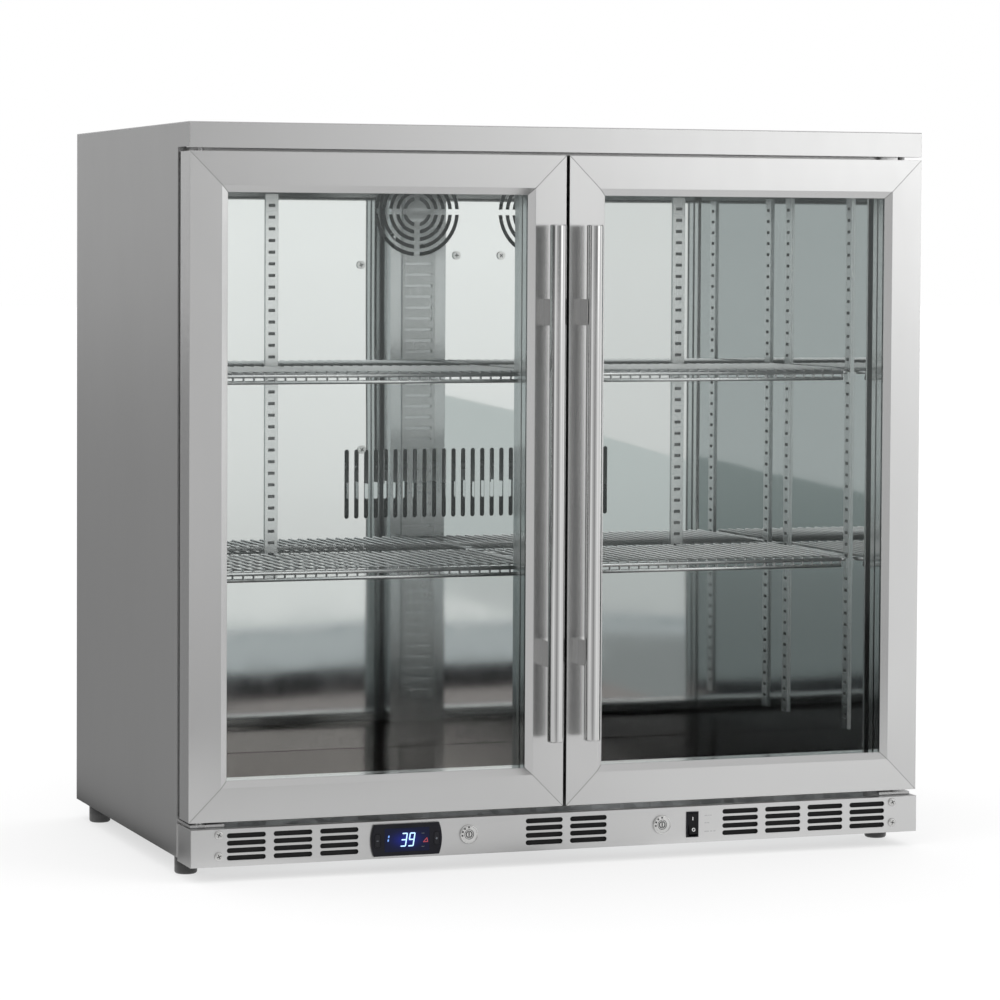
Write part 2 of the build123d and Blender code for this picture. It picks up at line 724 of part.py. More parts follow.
# ---- hinge brackets ----------------------------------------------------------------------------
bracket_thickness = 3.0
lower_plate_top = 64.0
upper_plate_bottom = 822.5
pin_reach = 12.6
bracket_outer = half - 4
bracket_inner = half - 44
with BuildPart() as hinge_brackets:
    for side in (-1, 1):
        pin = (side * hinge_x, behind(pin_depth))
        block(side * bracket_outer, side * bracket_inner, behind(8), behind(cabinet_front),
              lower_plate_top - bracket_thickness, lower_plate_top)
        block(side * bracket_outer, side * bracket_inner, behind(cabinet_front - 2), behind(cabinet_front),
              30, lower_plate_top)
        rod((*pin, lower_plate_top - 1), (*pin, door_bottom + pin_reach), pin_radius)
        rod((*pin, lower_plate_top - 1), (*pin, door_bottom - 0.8), pin_radius + 2)
        block(side * bracket_outer, side * bracket_inner, behind(5), behind(cabinet_front),
              upper_plate_bottom, upper_plate_bottom + bracket_thickness)
        block(side * bracket_outer, side * bracket_inner, behind(cabinet_front - 2), behind(cabinet_front),
              upper_plate_bottom, height - 4)
        rod((*pin, door_top - pin_reach), (*pin, upper_plate_bottom + 1), pin_radius)
save(hinge_brackets, "hinge_brackets")

# ---- doors -------------------------------------------------------------------------------------
door_middle_x = -(door_outer + door_inner) / 2
door_middle_z = (door_top + door_bottom) / 2
door_width = door_outer - door_inner
door_height = door_top - door_bottom
mitre_gap = 0.2


def door_ring(outer, inner, front, back, mode=Mode.ADD):
    """A rectangular ring between two distances from the door's edge and two depths."""
    with BuildSketch(front_plane(front)) as ring:
        with Locations((door_middle_x, door_middle_z)):
            Rectangle(door_width - 2 * outer, door_height - 2 * outer)
            if inner is not None:
                Rectangle(door_width - 2 * inner, door_height - 2 * inner, mode=Mode.SUBTRACT)
    extrude(ring.sketch, amount=-(back - front), mode=mode)


def mitre_cuts(reach_in, front, back):
    """Thin saw cuts at 45 degrees through the four corners."""
    for side_x in (-1, 1):
        for side_z in (-1, 1):
            corner_x = door_middle_x + side_x * door_width / 2
            corner_z = door_middle_z + side_z * door_height / 2
            with BuildSketch(front_plane(front)) as cut:
                with Locations((corner_x - side_x * reach_in / 2, corner_z - side_z * reach_in / 2)):
                    Rectangle(2 * reach_in, mitre_gap, rotation=45 * side_x * side_z)
            extrude(cut.sketch, amount=-(back - front), mode=Mode.SUBTRACT)


pin_x = -hinge_x
block_gap = 0.2
cam_slot = (-lock_x - 9, -lock_x + 33)
with BuildPart() as door_frame:
    door_ring(0, tube_width, 0, tube_depth)
    door_ring(0, frame_wall, tube_depth, frame_depth)
    door_ring(tube_width, bevel_width, 0, lip_depth)
    with BuildSketch(front_plane(-0.001)):
        with Locations((door_middle_x, door_middle_z)):
            Rectangle(door_width - 2 * face_width, door_height - 2 * face_width)
    with BuildSketch(front_plane(bevel_depth)):
        with Locations((door_middle_x, door_middle_z)):
            Rectangle(door_width - 2 * bevel_width, door_height - 2 * bevel_width)
    loft(mode=Mode.SUBTRACT)
    door_ring(frame_wall, tube_width - frame_wall, frame_wall, tube_depth - frame_wall, mode=Mode.SUBTRACT)
    block(*cam_slot, behind(10.5), behind(16.5), door_bottom - 1, door_bottom + frame_wall + 1,
          mode=Mode.SUBTRACT)
    for hole_z in (door_bottom, door_top):
        rod((pin_x, behind(pin_depth), hole_z - 2), (pin_x, behind(pin_depth), hole_z + 2), pin_radius + 1,
            mode=Mode.SUBTRACT)
    mitre_cuts(bevel_width + 4, -1, frame_depth + 1)
    inner_wall = frame_wall + block_gap
    for low, high in ((door_bottom + inner_wall, door_bottom + 30), (door_top - 30, door_top - inner_wall)):
        block(-half + inner_wall, -half + tube_width - inner_wall, behind(inner_wall),
              behind(tube_depth - inner_wall), low, high)
        rod((pin_x, behind(pin_depth), low - 1), (pin_x, behind(pin_depth), high + 1),
            pin_radius + running_gap, mode=Mode.SUBTRACT)
save_pair(door_frame, "door_frame")

for pane_name, pane_front in (("outer", lip_depth), ("inner", lip_depth + glass_thickness + glass_gap)):
    with BuildPart() as pane:
        door_ring(glass_edge, None, pane_front, pane_front + glass_thickness)
    save_pair(pane, f"door_{pane_name}_glass")

with BuildPart() as glass_spacer:
    door_ring(glass_edge + 1.5, bevel_width - 0.5, lip_depth + glass_thickness,
              lip_depth + glass_thickness + glass_gap)
save_pair(glass_spacer, "door_glass_spacer")

groove_outer = 21.0
groove_inner = 27.0
groove_depth = 35.0
with BuildPart() as door_trim:
    door_ring(frame_wall + block_gap, bevel_width - 1, tube_depth + 0.1, trim_depth)
    chamfer(door_trim.edges().group_by(Axis.Y)[-1], length=2.5)
    door_ring(groove_outer, groove_inner, groove_depth, trim_depth + 1, mode=Mode.SUBTRACT)
    mitre_cuts(bevel_width + 4, tube_depth - 1, trim_depth + 1)
save_pair(door_trim, "door_trim")

gasket_outer = 18.0
gasket_inner = 31.0
gasket_back = cabinet_front - 0.3
with BuildPart() as door_gasket:
    door_ring(gasket_outer, gasket_inner, trim_depth, gasket_back)
    fillet(door_gasket.edges().group_by(Axis.Y)[-1], radius=2)
    door_ring(groove_outer + 1, groove_inner - 1, groove_depth + 0.5, trim_depth)
save_pair(door_gasket, "door_gasket")

handle_x = -22.5
handle_middle = height - 408.0
handle_length = 592.0
post_spread = 196.0
post_width = 13.0
post_height = 30.0
with BuildPart() as handle:
    rod((handle_x, behind(-handle_standoff), handle_middle - handle_length / 2),
        (handle_x, behind(-handle_standoff), handle_middle + handle_length / 2), handle_radius)
    chamfer(handle.edges().filter_by(GeomType.CIRCLE), length=1)
    for post_z in (handle_middle - post_spread, handle_middle + post_spread):
        block(handle_x - post_width / 2, handle_x + post_width / 2, behind(-handle_standoff), behind(0),
              post_z - post_height / 2, post_z + post_height / 2)
save_pair(handle, "door_handle")

# ---- machine bay -------------------------------------------------------------------------------
pan_top = foot_gap + pan_thickness
compressor_x = 240.0
compressor_depth = 432.0
compressor_radius = 68.0
plate_bottom = 36.0
plate_top = 40.0
pot_height = 158.0
plate_half_width = 78.0
plate_half_depth = 62.0
mount_radius = 9.0
mount_pitch = (132.0, 100.0)
relay_box = (26.0, 30.0, 90.0, 160.0)                   # out of the pot, half width, bottom, top
stub_length = 100.0
with BuildPart() as compressor:
    with BuildSketch(Plane.XY.offset(plate_top - 1)):
        with Locations((compressor_x, behind(compressor_depth))):
            Circle(compressor_radius)
    extrude(amount=pot_height)
    fillet(compressor.edges().group_by(Axis.Z)[-1], radius=26)
    fillet(compressor.edges().group_by(Axis.Z)[0], radius=10)
    block(compressor_x - plate_half_width, compressor_x + plate_half_width,
          behind(compressor_depth - plate_half_depth), behind(compressor_depth + plate_half_depth),
          plate_bottom, plate_top)
    with Locations((compressor_x, behind(compressor_depth), (pan_top + plate_bottom) / 2)):
        with GridLocations(*mount_pitch, 2, 2):
            Cylinder(mount_radius, plate_bottom - pan_top)
    relay_out, relay_half, relay_bottom, relay_top = relay_box
    block(compressor_x - compressor_radius - relay_out, compressor_x - compressor_radius + 10,
          behind(compressor_depth - relay_half), behind(compressor_depth + relay_half), relay_bottom,
          relay_top)
    for stub_depth, stub_z, stub_radius in ((0, 150, 5), (25, 110, 3)):
        stub_y = behind(compressor_depth + stub_depth)
        rod((compressor_x + stub_length / 2, stub_y, stub_z), (compressor_x + stub_length, stub_y, stub_z),
            stub_radius)
save(compressor, "compressor")

condenser_x = -190.0
condenser_z = 158.0
condenser_half = 125.0
condenser_front = 352.0
condenser_depth = 44.0
condenser_fins = 31
condenser_half_height = 118.0
condenser_rows = 8
condenser_row_pitch = 28.0
condenser_tube_depths = (12.0, 32.0)
with BuildPart() as condenser_coil:
    condenser_low = condenser_z - condenser_half_height
    condenser_high = condenser_z + condenser_half_height
    with Locations((condenser_x, behind(condenser_front + condenser_depth / 2), condenser_z)):
        with GridLocations(2 * (condenser_half - 5) / (condenser_fins - 1), 1, condenser_fins, 1):
            Box(1.0, condenser_depth, condenser_high - condenser_low)
        with GridLocations(2 * condenser_half, 1, 2, 1):
            Box(2, condenser_depth, condenser_high - condenser_low)
    condenser_end = condenser_half + 6
    for row in range(condenser_rows):
        tube_z = condenser_low + 20 + row * condenser_row_pitch
        for tube_at in condenser_tube_depths:
            rod((condenser_x - condenser_end, behind(condenser_front + tube_at), tube_z),
                (condenser_x + condenser_end, behind(condenser_front + tube_at), tube_z), 4)
        for end in (condenser_x - condenser_end, condenser_x + condenser_end):
            rod((end, behind(condenser_front + condenser_tube_depths[0] - 6), tube_z),
                (end, behind(condenser_front + condenser_tube_depths[1] + 6), tube_z), 5.5)
    for end in (-1, 1):
        block(condenser_x + end * (condenser_half - 1), condenser_x + end * (condenser_half + 1),
              behind(condenser_front + 4), behind(condenser_front + condenser_depth - 4), pan_top,
              condenser_low + 5)
save(condenser_coil, "condenser_coil")

shroud_front = condenser_front + condenser_depth + 0.5
condenser_fan_radius = 92.0
shroud_ring = 34.0
motor_bracket = 32.0        # bracket and motor, behind the shroud's front
bracket_width = 12.0
motor_radius = 38.0
motor_length = 52.0
motor_shaft_radius = 3.5
with BuildPart() as condenser_fan_motor:
    with BuildSketch(front_plane(shroud_front)):
        with Locations((condenser_x, condenser_z)):
            Rectangle(2 * condenser_half, 2 * condenser_half_height)
            Circle(condenser_fan_radius + 6, mode=Mode.SUBTRACT)
    extrude(amount=-1.5)
    with BuildSketch(front_plane(shroud_front)):
        with Locations((condenser_x, condenser_z)):
            Circle(condenser_fan_radius + 8)
            Circle(condenser_fan_radius + 6, mode=Mode.SUBTRACT)
    extrude(amount=-shroud_ring)
    with BuildSketch(front_plane(shroud_front + motor_bracket)):
        with Locations((condenser_x, condenser_z)):
            Rectangle(2 * condenser_fan_radius + 14, bracket_width)
            Rectangle(bracket_width, 2 * condenser_fan_radius + 14)
    extrude(amount=-(shroud_ring - motor_bracket))
    with BuildSketch(front_plane(shroud_front + motor_bracket)):
        with Locations((condenser_x, condenser_z)):
            Circle(motor_radius)
    extrude(amount=-motor_length)
    with BuildSketch(front_plane(shroud_front + 8.5)):
        with Locations((condenser_x, condenser_z)):
            Circle(motor_shaft_radius)
    extrude(amount=-26)
save(condenser_fan_motor, "condenser_fan_motor")
fan_blade("condenser_fan", condenser_x, condenser_z, shroud_front + 6, 24, 22, condenser_fan_radius, 5, 34,
          motor_shaft_radius + running_gap)

with BuildPart() as power_inlet:
    block(inlet_x - 16, inlet_x + 16, behind(back_skin + sheet), behind(body_depth - 0.2), inlet_z - 25,
          inlet_z + 25)
    block(inlet_x - 13.5, inlet_x + 13.5, behind(back_skin - 22), behind(back_skin + sheet), inlet_z - 12,
          inlet_z + 12)
    block(inlet_x - 12, inlet_x + 12, behind(back_skin - 16), behind(body_depth), inlet_z - 8.5,
          inlet_z + 8.5, mode=Mode.SUBTRACT)
    for prong_x, prong_z in ((0, 3.5), (-7, -3), (7, -3)):
        block(inlet_x + prong_x - 1, inlet_x + prong_x + 1, behind(back_skin - 17), behind(back_skin - 1),
              inlet_z + prong_z - 2, inlet_z + prong_z + 2)
save(power_inlet, "power_inlet")

# ---- screws --------------------------------------------------------------------------------------
cover_screws = ((-152, 690), (152, 690), (-29, 702), (29, 702), (-150, 466), (150, 466))
screw_head_radius = 5.0
screw_head_height = 2.2
with BuildPart() as panel_screws:
    with BuildSketch(front_plane(kick_face - screw_head_height)):
        for screw_z in kick_screw_z:
            with Locations((-kick_screw_x, screw_z), (kick_screw_x, screw_z)):
                Circle(screw_head_radius)
    extrude(amount=-screw_head_height)
    fillet(panel_screws.edges().group_by(Axis.Y)[0], radius=1.4)
    with BuildSketch(front_plane(kick_face)):
        for screw_z in kick_screw_z:
            with Locations((-kick_screw_x, screw_z), (kick_screw_x, screw_z)):
                Circle(screw_clear - 0.2)
    extrude(amount=-8)
    with BuildSketch(front_plane(cover_depth - 2)):
        with Locations(*cover_screws):
            Circle(screw_head_radius)
    extrude(amount=-2)
save(panel_screws, "panel_screws")
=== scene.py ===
import json
import math

import bmesh
import bpy
from mathutils import Matrix, Vector
from mathutils.bvhtree import BVHTree


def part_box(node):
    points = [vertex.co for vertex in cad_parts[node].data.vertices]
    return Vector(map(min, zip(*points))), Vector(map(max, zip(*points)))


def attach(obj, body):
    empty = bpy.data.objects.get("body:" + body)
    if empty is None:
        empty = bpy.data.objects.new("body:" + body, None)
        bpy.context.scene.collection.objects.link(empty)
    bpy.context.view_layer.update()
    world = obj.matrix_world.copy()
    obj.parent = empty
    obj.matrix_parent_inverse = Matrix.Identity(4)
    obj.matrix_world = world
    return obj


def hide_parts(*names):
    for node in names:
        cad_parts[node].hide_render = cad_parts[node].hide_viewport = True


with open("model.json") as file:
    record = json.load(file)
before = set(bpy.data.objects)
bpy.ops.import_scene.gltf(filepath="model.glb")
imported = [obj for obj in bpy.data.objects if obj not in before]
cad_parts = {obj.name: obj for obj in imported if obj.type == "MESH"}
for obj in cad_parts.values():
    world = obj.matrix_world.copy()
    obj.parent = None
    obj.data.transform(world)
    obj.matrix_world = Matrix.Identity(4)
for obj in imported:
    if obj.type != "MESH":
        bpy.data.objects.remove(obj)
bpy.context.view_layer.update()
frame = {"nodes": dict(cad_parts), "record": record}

MM = 0.001
scene = bpy.context.scene
scene.view_settings.view_transform = "Standard"
scene.view_settings.look = "None"

# ---------------------------------------------------------------- camera
CAMERA_PLACE = Vector((-1.55317, -4.20357, 0.70771))
CAMERA_YAW = 0.33386
CAMERA_PITCH = 0.04037
CAMERA_ROLL = 0.00463
CAMERA_LENS = 133.184
CAMERA_SHIFT = (0.08, -0.10)


def make_camera():
    """The camera stands in front, left of the middle, and looks nearly level."""
    forward = Vector(
        (
            math.sin(CAMERA_YAW) * math.cos(CAMERA_PITCH),
            math.cos(CAMERA_YAW) * math.cos(CAMERA_PITCH),
            -math.sin(CAMERA_PITCH),
        )
    )
    level = Vector((math.cos(CAMERA_YAW), -math.sin(CAMERA_YAW), 0))
    over = level.cross(forward)
    right = level * math.cos(CAMERA_ROLL) + over * math.sin(CAMERA_ROLL)
    up = over * math.cos(CAMERA_ROLL) - level * math.sin(CAMERA_ROLL)
    data = bpy.data.cameras.new("camera")
    data.sensor_width = 36
    data.lens = CAMERA_LENS
    data.shift_x, data.shift_y = CAMERA_SHIFT
    data.clip_start, data.clip_end = 0.05, 200
    camera = bpy.data.objects.new("camera", data)
    scene.collection.objects.link(camera)
    turn = Matrix((right, up, -forward)).transposed()
    camera.matrix_world = Matrix.Translation(CAMERA_PLACE) @ turn.to_4x4()
    scene.camera = camera


# ---------------------------------------------------------------- materials
class Finish:
    """A procedural material built round one Principled shader, in the object's own coordinates."""

    def __init__(self, name, **settings):
        self.material = bpy.data.materials.new(name)
        self.material.use_nodes = True
        self.tree = self.material.node_tree
        self.tree.nodes.clear()
        self.output = self.tree.nodes.new("ShaderNodeOutputMaterial")
        self.shader = self.tree.nodes.new("ShaderNodeBsdfPrincipled")
        self.join(self.shader.outputs["BSDF"], self.output.inputs["Surface"])
        self.place = self.tree.nodes.new("ShaderNodeTexCoord").outputs["Object"]
        self.set(**settings)

    def join(self, source, target):
        self.tree.links.new(source, target)

    def set(self, **settings):
        for name, value in settings.items():
            socket = self.shader.inputs[name.replace("_", " ")]
            if isinstance(value, bpy.types.NodeSocket):
                self.join(value, socket)
            elif isinstance(value, tuple):
                socket.default_value = (*value, 1) if len(value) == 3 else value
            else:
                socket.default_value = value

    def feed(self, node, index, value):
        if isinstance(value, bpy.types.NodeSocket):
            self.join(value, node.inputs[index])
        elif value is not None:
            node.inputs[index].default_value = value

    def scaled(self, x, y, z):
        """Object coordinates stretched by x, y and z, per metre."""
        node = self.tree.nodes.new("ShaderNodeVectorMath")
        node.operation = "MULTIPLY"
        self.join(self.place, node.inputs[0])
        node.inputs[1].default_value = (x, y, z)
        return node.outputs[0]

    def noise(self, vector, detail=2.0, rough=0.5, distortion=0.0):
        node = self.tree.nodes.new("ShaderNodeTexNoise")
        self.join(vector, node.inputs["Vector"])
        node.inputs["Scale"].default_value = 1.0
        node.inputs["Detail"].default_value = detail
        node.inputs["Roughness"].default_value = rough
        node.inputs["Distortion"].default_value = distortion
        return node.outputs["Fac"]

    def cells(self, vector, output="Distance"):
        node = self.tree.nodes.new("ShaderNodeTexVoronoi")
        self.join(vector, node.inputs["Vector"])
        node.inputs["Scale"].default_value = 1.0
        return node.outputs[output]

    def math(self, operation, a, b=None):
        node = self.tree.nodes.new("ShaderNodeMath")
        node.operation = operation
        self.feed(node, 0, a)
        self.feed(node, 1, b)
        return node.outputs[0]

    def spread(self, value, low, high, start=0.0, end=1.0):
        """value from start..end carried to low..high."""
        node = self.tree.nodes.new("ShaderNodeMapRange")
        self.join(value, node.inputs["Value"])
        node.inputs["From Min"].default_value = start
        node.inputs["From Max"].default_value = end
        self.feed(node, "To Min", low)
        self.feed(node, "To Max", high)
        return node.outputs["Result"]

    def split(self, vector=None):
        node = self.tree.nodes.new("ShaderNodeSeparateXYZ")
        self.join(vector or self.place, node.inputs[0])
        return node.outputs

    def mix(self, factor, a, b):
        """A colour between a and b."""
        node = self.tree.nodes.new("ShaderNodeMix")
        node.data_type = "RGBA"
        self.feed(node, 0, factor)
        for index, value in ((6, a), (7, b)):
            if isinstance(value, tuple):
                value = (*value, 1)
            self.feed(node, index, value)
        return node.outputs[2]

    def mix_vectors(self, factor, a, b):
        node = self.tree.nodes.new("ShaderNodeMix")
        node.data_type = "VECTOR"
        self.feed(node, 0, factor)
        self.feed(node, 4, a)
        self.feed(node, 5, b)
        return node.outputs[1]

    def multiply(self, factor, a, b):
        """Colour a, multiplied by b as far as factor says."""
        node = self.tree.nodes.new("ShaderNodeMix")
        node.data_type, node.blend_type = "RGBA", "MULTIPLY"
        for index, value in ((0, factor), (6, a), (7, b)):
            self.feed(node, index, value)
        return node.outputs[2]

    def choose(self, factor, a, b):
        """A number between a and b."""
        node = self.tree.nodes.new("ShaderNodeMix")
        for index, value in ((0, factor), (2, a), (3, b)):
            self.feed(node, index, value)
        return node.outputs[0]

    def edge(self):
        """1 on worn convex edges, 0 elsewhere."""
        geometry = self.tree.nodes.new("ShaderNodeNewGeometry")
        return self.spread(geometry.outputs["Pointiness"], 0.0, 1.0, 0.52, 0.60)

    def relief(self, height, depth, round_edges=0.0):
        """Bump of depth metres from height, over edges rounded by round_edges metres."""
        bump = self.tree.nodes.new("ShaderNodeBump")
        bump.inputs["Distance"].default_value = depth
        bump.inputs["Strength"].default_value = 1.0
        self.join(height, bump.inputs["Height"])
        if round_edges:
            bevel = self.tree.nodes.new("ShaderNodeBevel")
            bevel.samples = 4
            bevel.inputs["Radius"].default_value = round_edges
            self.join(bevel.outputs["Normal"], bump.inputs["Normal"])
        self.join(bump.outputs["Normal"], self.shader.inputs["Normal"])

    def along(self, direction):
        """The shader's tangent: direction in the object's own axes, turned with the object."""
        node = self.tree.nodes.new("ShaderNodeVectorTransform")
        node.vector_type = "VECTOR"
        node.convert_from = "OBJECT"
        node.convert_to = "WORLD"
        self.feed(node, 0, direction)
        self.join(node.outputs[0], self.shader.inputs["Tangent"])


def times(colour, factor, lift=0.0):
    """The colour made lighter or darker, no lighter than white."""
    return tuple(min(1.0, v * factor + lift) for v in colour)


FINE, COARSE = 1500.0, 5.0  # noise cells per metre across and along a brushed grain


def stretched(finish, axis):
    """Noise drawn out along one axis, as a brushing belt leaves it."""
    scale = [FINE, FINE, FINE]
    scale["xyz".index(axis)] = COARSE
    return finish.noise(finish.scaled(*scale), detail=3.0, rough=0.6)


def mitred(finish):
    """Brushing that turns at each mitre of a door frame: the scratches, and a tone, darker at the seams."""
    low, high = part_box("right_door_frame")
    middle, half = (low + high) / 2, (high - low) / 2
    x, _, z = finish.split()
    off_x = finish.math("ABSOLUTE", finish.math("SUBTRACT", finish.math("ABSOLUTE", x), middle.x))
    off_z = finish.math("ABSOLUTE", finish.math("SUBTRACT", z, middle.z))
    from_side = finish.math("SUBTRACT", half.x, off_x)
    from_end = finish.math("SUBTRACT", half.z, off_z)
    stile = finish.math("LESS_THAN", from_side, from_end)
    upright, level = stretched(finish, "z"), stretched(finish, "x")
    finish.along(finish.mix_vectors(stile, (0.0, 0.0, 1.0), (1.0, 0.0, 0.0)))
    seam = finish.math("ABSOLUTE", finish.math("SUBTRACT", from_side, from_end))
    return finish.choose(stile, level, upright), finish.spread(seam, 0.82, 1.0, 0.0002, 0.0010)


def steel(name, colour, rough, grain, lift=0.07, across=(1.0, 0.0, 0.0), anisotropy=0.4, depth=2e-7):
    """Brushed stainless sheet. grain is x, y or z, or doors, where it turns at each mitre."""
    finish = Finish(name, Metallic=1.0, Anisotropic=anisotropy)
    if grain == "doors":
        scratches, tone = mitred(finish)
    else:
        scratches, tone = stretched(finish, grain), None
        finish.along(across)
    cloud = finish.noise(finish.scaled(5.0, 5.0, 3.2), detail=4.0, rough=0.55)
    marks = finish.noise(finish.scaled(34.0, 34.0, 11.0), detail=6.0, rough=0.68, distortion=0.6)
    streaks = finish.spread(scratches, -lift, lift)
    bright = finish.math("ADD", streaks, finish.spread(cloud, -0.12, 0.12, 0.3, 0.7))
    bright = finish.math("ADD", bright, finish.math("MULTIPLY", finish.edge(), 0.3))
    bright = finish.math("ADD", bright, 0.5)
    shade = finish.mix(bright, times(colour, 0.93), times(colour, 1.07))
    if tone is not None:
        shade = finish.multiply(1.0, shade, tone)
    stains = finish.spread(marks, -0.008, 0.016, 0.35, 0.75)
    uneven = finish.math("ADD", finish.spread(scratches, -0.03, 0.03), stains)
    finish.set(Base_Color=shade, Roughness=finish.math("ADD", uneven, rough))
    finish.relief(scratches, depth, round_edges=0.0006)
    return finish.material


def rolled(name, colour, rough, wave=0.0007, swirl=0.015):
    """Rolled aluminium sheet, near a mirror, with faint roll lines and slow buckles; also its colour."""
    finish = Finish(name, Metallic=1.0)
    lines = finish.noise(finish.scaled(900.0, 900.0, 3.0), detail=2.0)
    cloud = finish.noise(finish.scaled(4.0, 4.0, 4.0), detail=3.0)
    bands = finish.spread(lines, -0.05, 0.05)
    shade = finish.math("ADD", bands, finish.spread(cloud, 0.42, 0.58, 0.3, 0.7))
    tint = finish.mix(shade, times(colour, 0.93), colour)
    film = finish.noise(finish.scaled(22.0, 22.0, 14.0), detail=5.0, rough=0.62)
    uneven = finish.spread(film, -swirl, swirl, 0.3, 0.7)
    finish.set(Base_Color=tint, Roughness=finish.math("ADD", uneven, rough))
    buckle = finish.noise(finish.scaled(3.2, 3.2, 2.4), detail=1.0)
    both = finish.math("ADD", finish.math("MULTIPLY", lines, 0.002), buckle)
    finish.relief(both, wave, round_edges=0.0004)
    return finish, tint


def bright_sheet(name, colour, rough, wave=0.0007, swirl=0.015):
    return rolled(name, colour, rough, wave, swirl)[0].material


def floor_sheet(name, colour, rough):
    """The liner's floor pan: the same bright sheet, with painted shade on its flat floor, brown on the left
    and nearly black on the right.
    """
    finish, tint = rolled(name, colour, rough, wave=0.0011)
    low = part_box("liner_floor")[0]
    x, _, z = finish.split()
    flat = finish.math("LESS_THAN", z, low.z + 1.5 * MM)
    side = finish.spread(x, 0.0, 1.0, -0.12, 0.18)
    # Painted shade: the flat floor's colour and reflection tint go from brown on the left to nearly black
    # on the right.
    painted_floor_shade = finish.mix(side, (0.36, 0.335, 0.325), (0.025, 0.022, 0.022))
    finish.set(Base_Color=finish.multiply(flat, tint, painted_floor_shade), Specular_Tint=painted_floor_shade)
    return finish.material


def zinc(name, colour, rough):
    """Hot-dip zinc sheet with its spangle."""
    finish = Finish(name, Metallic=1.0)
    spangle = finish.cells(finish.scaled(95.0, 95.0, 95.0), output="Color")
    flake = finish.split(spangle)[0]
    cloud = finish.noise(finish.scaled(9.0, 9.0, 9.0), detail=4.0)
    shade = finish.math("ADD", finish.math("MULTIPLY", flake, 0.55), finish.math("MULTIPLY", cloud, 0.45))
    finish.set(Base_Color=finish.mix(shade, times(colour, 0.72), times(colour, 1.2)))
    finish.set(Roughness=finish.spread(flake, rough - 0.10, rough + 0.12))
    finish.relief(flake, 1.2e-5, round_edges=0.0005)
    return finish.material


def chrome(name, colour, rough, grime=0.05):
    """Plated metal with faint haze and worn edges."""
    finish = Finish(name, Metallic=1.0)
    haze = finish.noise(finish.scaled(160.0, 160.0, 160.0), detail=4.0, rough=0.6)
    shade = finish.spread(haze, 0.0, 1.0, 0.3, 0.75)
    rubbed = finish.math("MULTIPLY", finish.edge(), 0.4)
    worn = finish.math("ADD", finish.math("MULTIPLY", shade, 0.6), rubbed)
    finish.set(Base_Color=finish.mix(worn, times(colour, 0.84), colour))
    finish.set(Roughness=finish.spread(haze, rough - grime / 2, rough + grime, 0.3, 0.75))
    finish.relief(haze, 6e-6, round_edges=0.00035)
    return finish.material


def plastic(name, colour, rough, grain=2200.0, depth=6e-6, coat=0.0, rub=0.35, gleam=0.5):
    """Moulded plastic with a fine spark-eroded grain and paler rubbed edges."""
    finish = Finish(name, Metallic=0.0, Coat_Weight=coat, Coat_Roughness=0.08, Specular_IOR_Level=gleam)
    pits = finish.noise(finish.scaled(grain, grain, grain), detail=3.0, rough=0.6)
    cloud = finish.noise(finish.scaled(30.0, 30.0, 30.0), detail=4.0)
    rubbed = finish.math("MULTIPLY", finish.edge(), rub)
    pale = finish.math("ADD", rubbed, finish.spread(cloud, 0.0, 0.22, 0.3, 0.7))
    finish.set(Base_Color=finish.mix(pale, colour, times(colour, 1.6, 0.015)))
    uneven = finish.math("ADD", pits, cloud)
    finish.set(Roughness=finish.spread(uneven, rough - 0.06, rough + 0.08, 0.6, 1.4))
    finish.relief(pits, depth, round_edges=0.0004)
    return finish.material


def rubber(name, colour, rough=0.72):
    """Matt rubber with dust in its pores."""
    finish = Finish(name, Metallic=0.0, Sheen_Weight=0.25, Sheen_Roughness=0.5)
    pores = finish.noise(finish.scaled(1500.0, 1500.0, 1500.0), detail=4.0, rough=0.65)
    dust = finish.noise(finish.scaled(60.0, 60.0, 45.0), detail=6.0, rough=0.7)
    dusty = finish.spread(dust, 0.0, 0.6, 0.45, 0.8)
    finish.set(Base_Color=finish.mix(dusty, colour, times(colour, 1.8, 0.03)))
    finish.set(Roughness=finish.spread(pores, rough - 0.08, rough + 0.1))
    finish.relief(pores, 2.0e-5, round_edges=0.0006)
    return finish.material


def glass(name, colour):
    """Float glass: clear, with a breath of haze and the faint waviness of the sheet."""
    finish = Finish(name, Metallic=0.0, Transmission_Weight=1.0, IOR=1.1, Base_Color=colour)
    smear = finish.noise(finish.scaled(6.0, 6.0, 3.0), detail=5.0, rough=0.6, distortion=0.8)
    finish.set(Roughness=finish.spread(smear, 0.0, 0.012, 0.45, 0.8))
    wave = finish.noise(finish.scaled(2.2, 2.2, 1.4), detail=0.0)
    finish.relief(wave, 2.0e-5)
    # Painted reflection: each face glows with a thin pale veil, which fades out towards the foot of the
    # pane.
    height = finish.split(finish.tree.nodes.new("ShaderNodeTexCoord").outputs["Generated"])[2]
    painted_reflection_glow = finish.spread(height, 0.0, 0.013, 0.22, 0.50)
    finish.set(Emission_Color=(0.80, 0.88, 0.87), Emission_Strength=painted_reflection_glow)
    return finish.material


def foam_core(name, colour):
    """Cut foam with open bubbles."""
    finish = Finish(name, Metallic=0.0, Roughness=0.9)
    bubbles = finish.cells(finish.scaled(420.0, 420.0, 420.0))
    cloud = finish.noise(finish.scaled(18.0, 18.0, 18.0), detail=5.0)
    finish.set(Base_Color=finish.mix(cloud, times(colour, 0.8), colour))
    finish.relief(bubbles, 4e-4)
    return finish.material


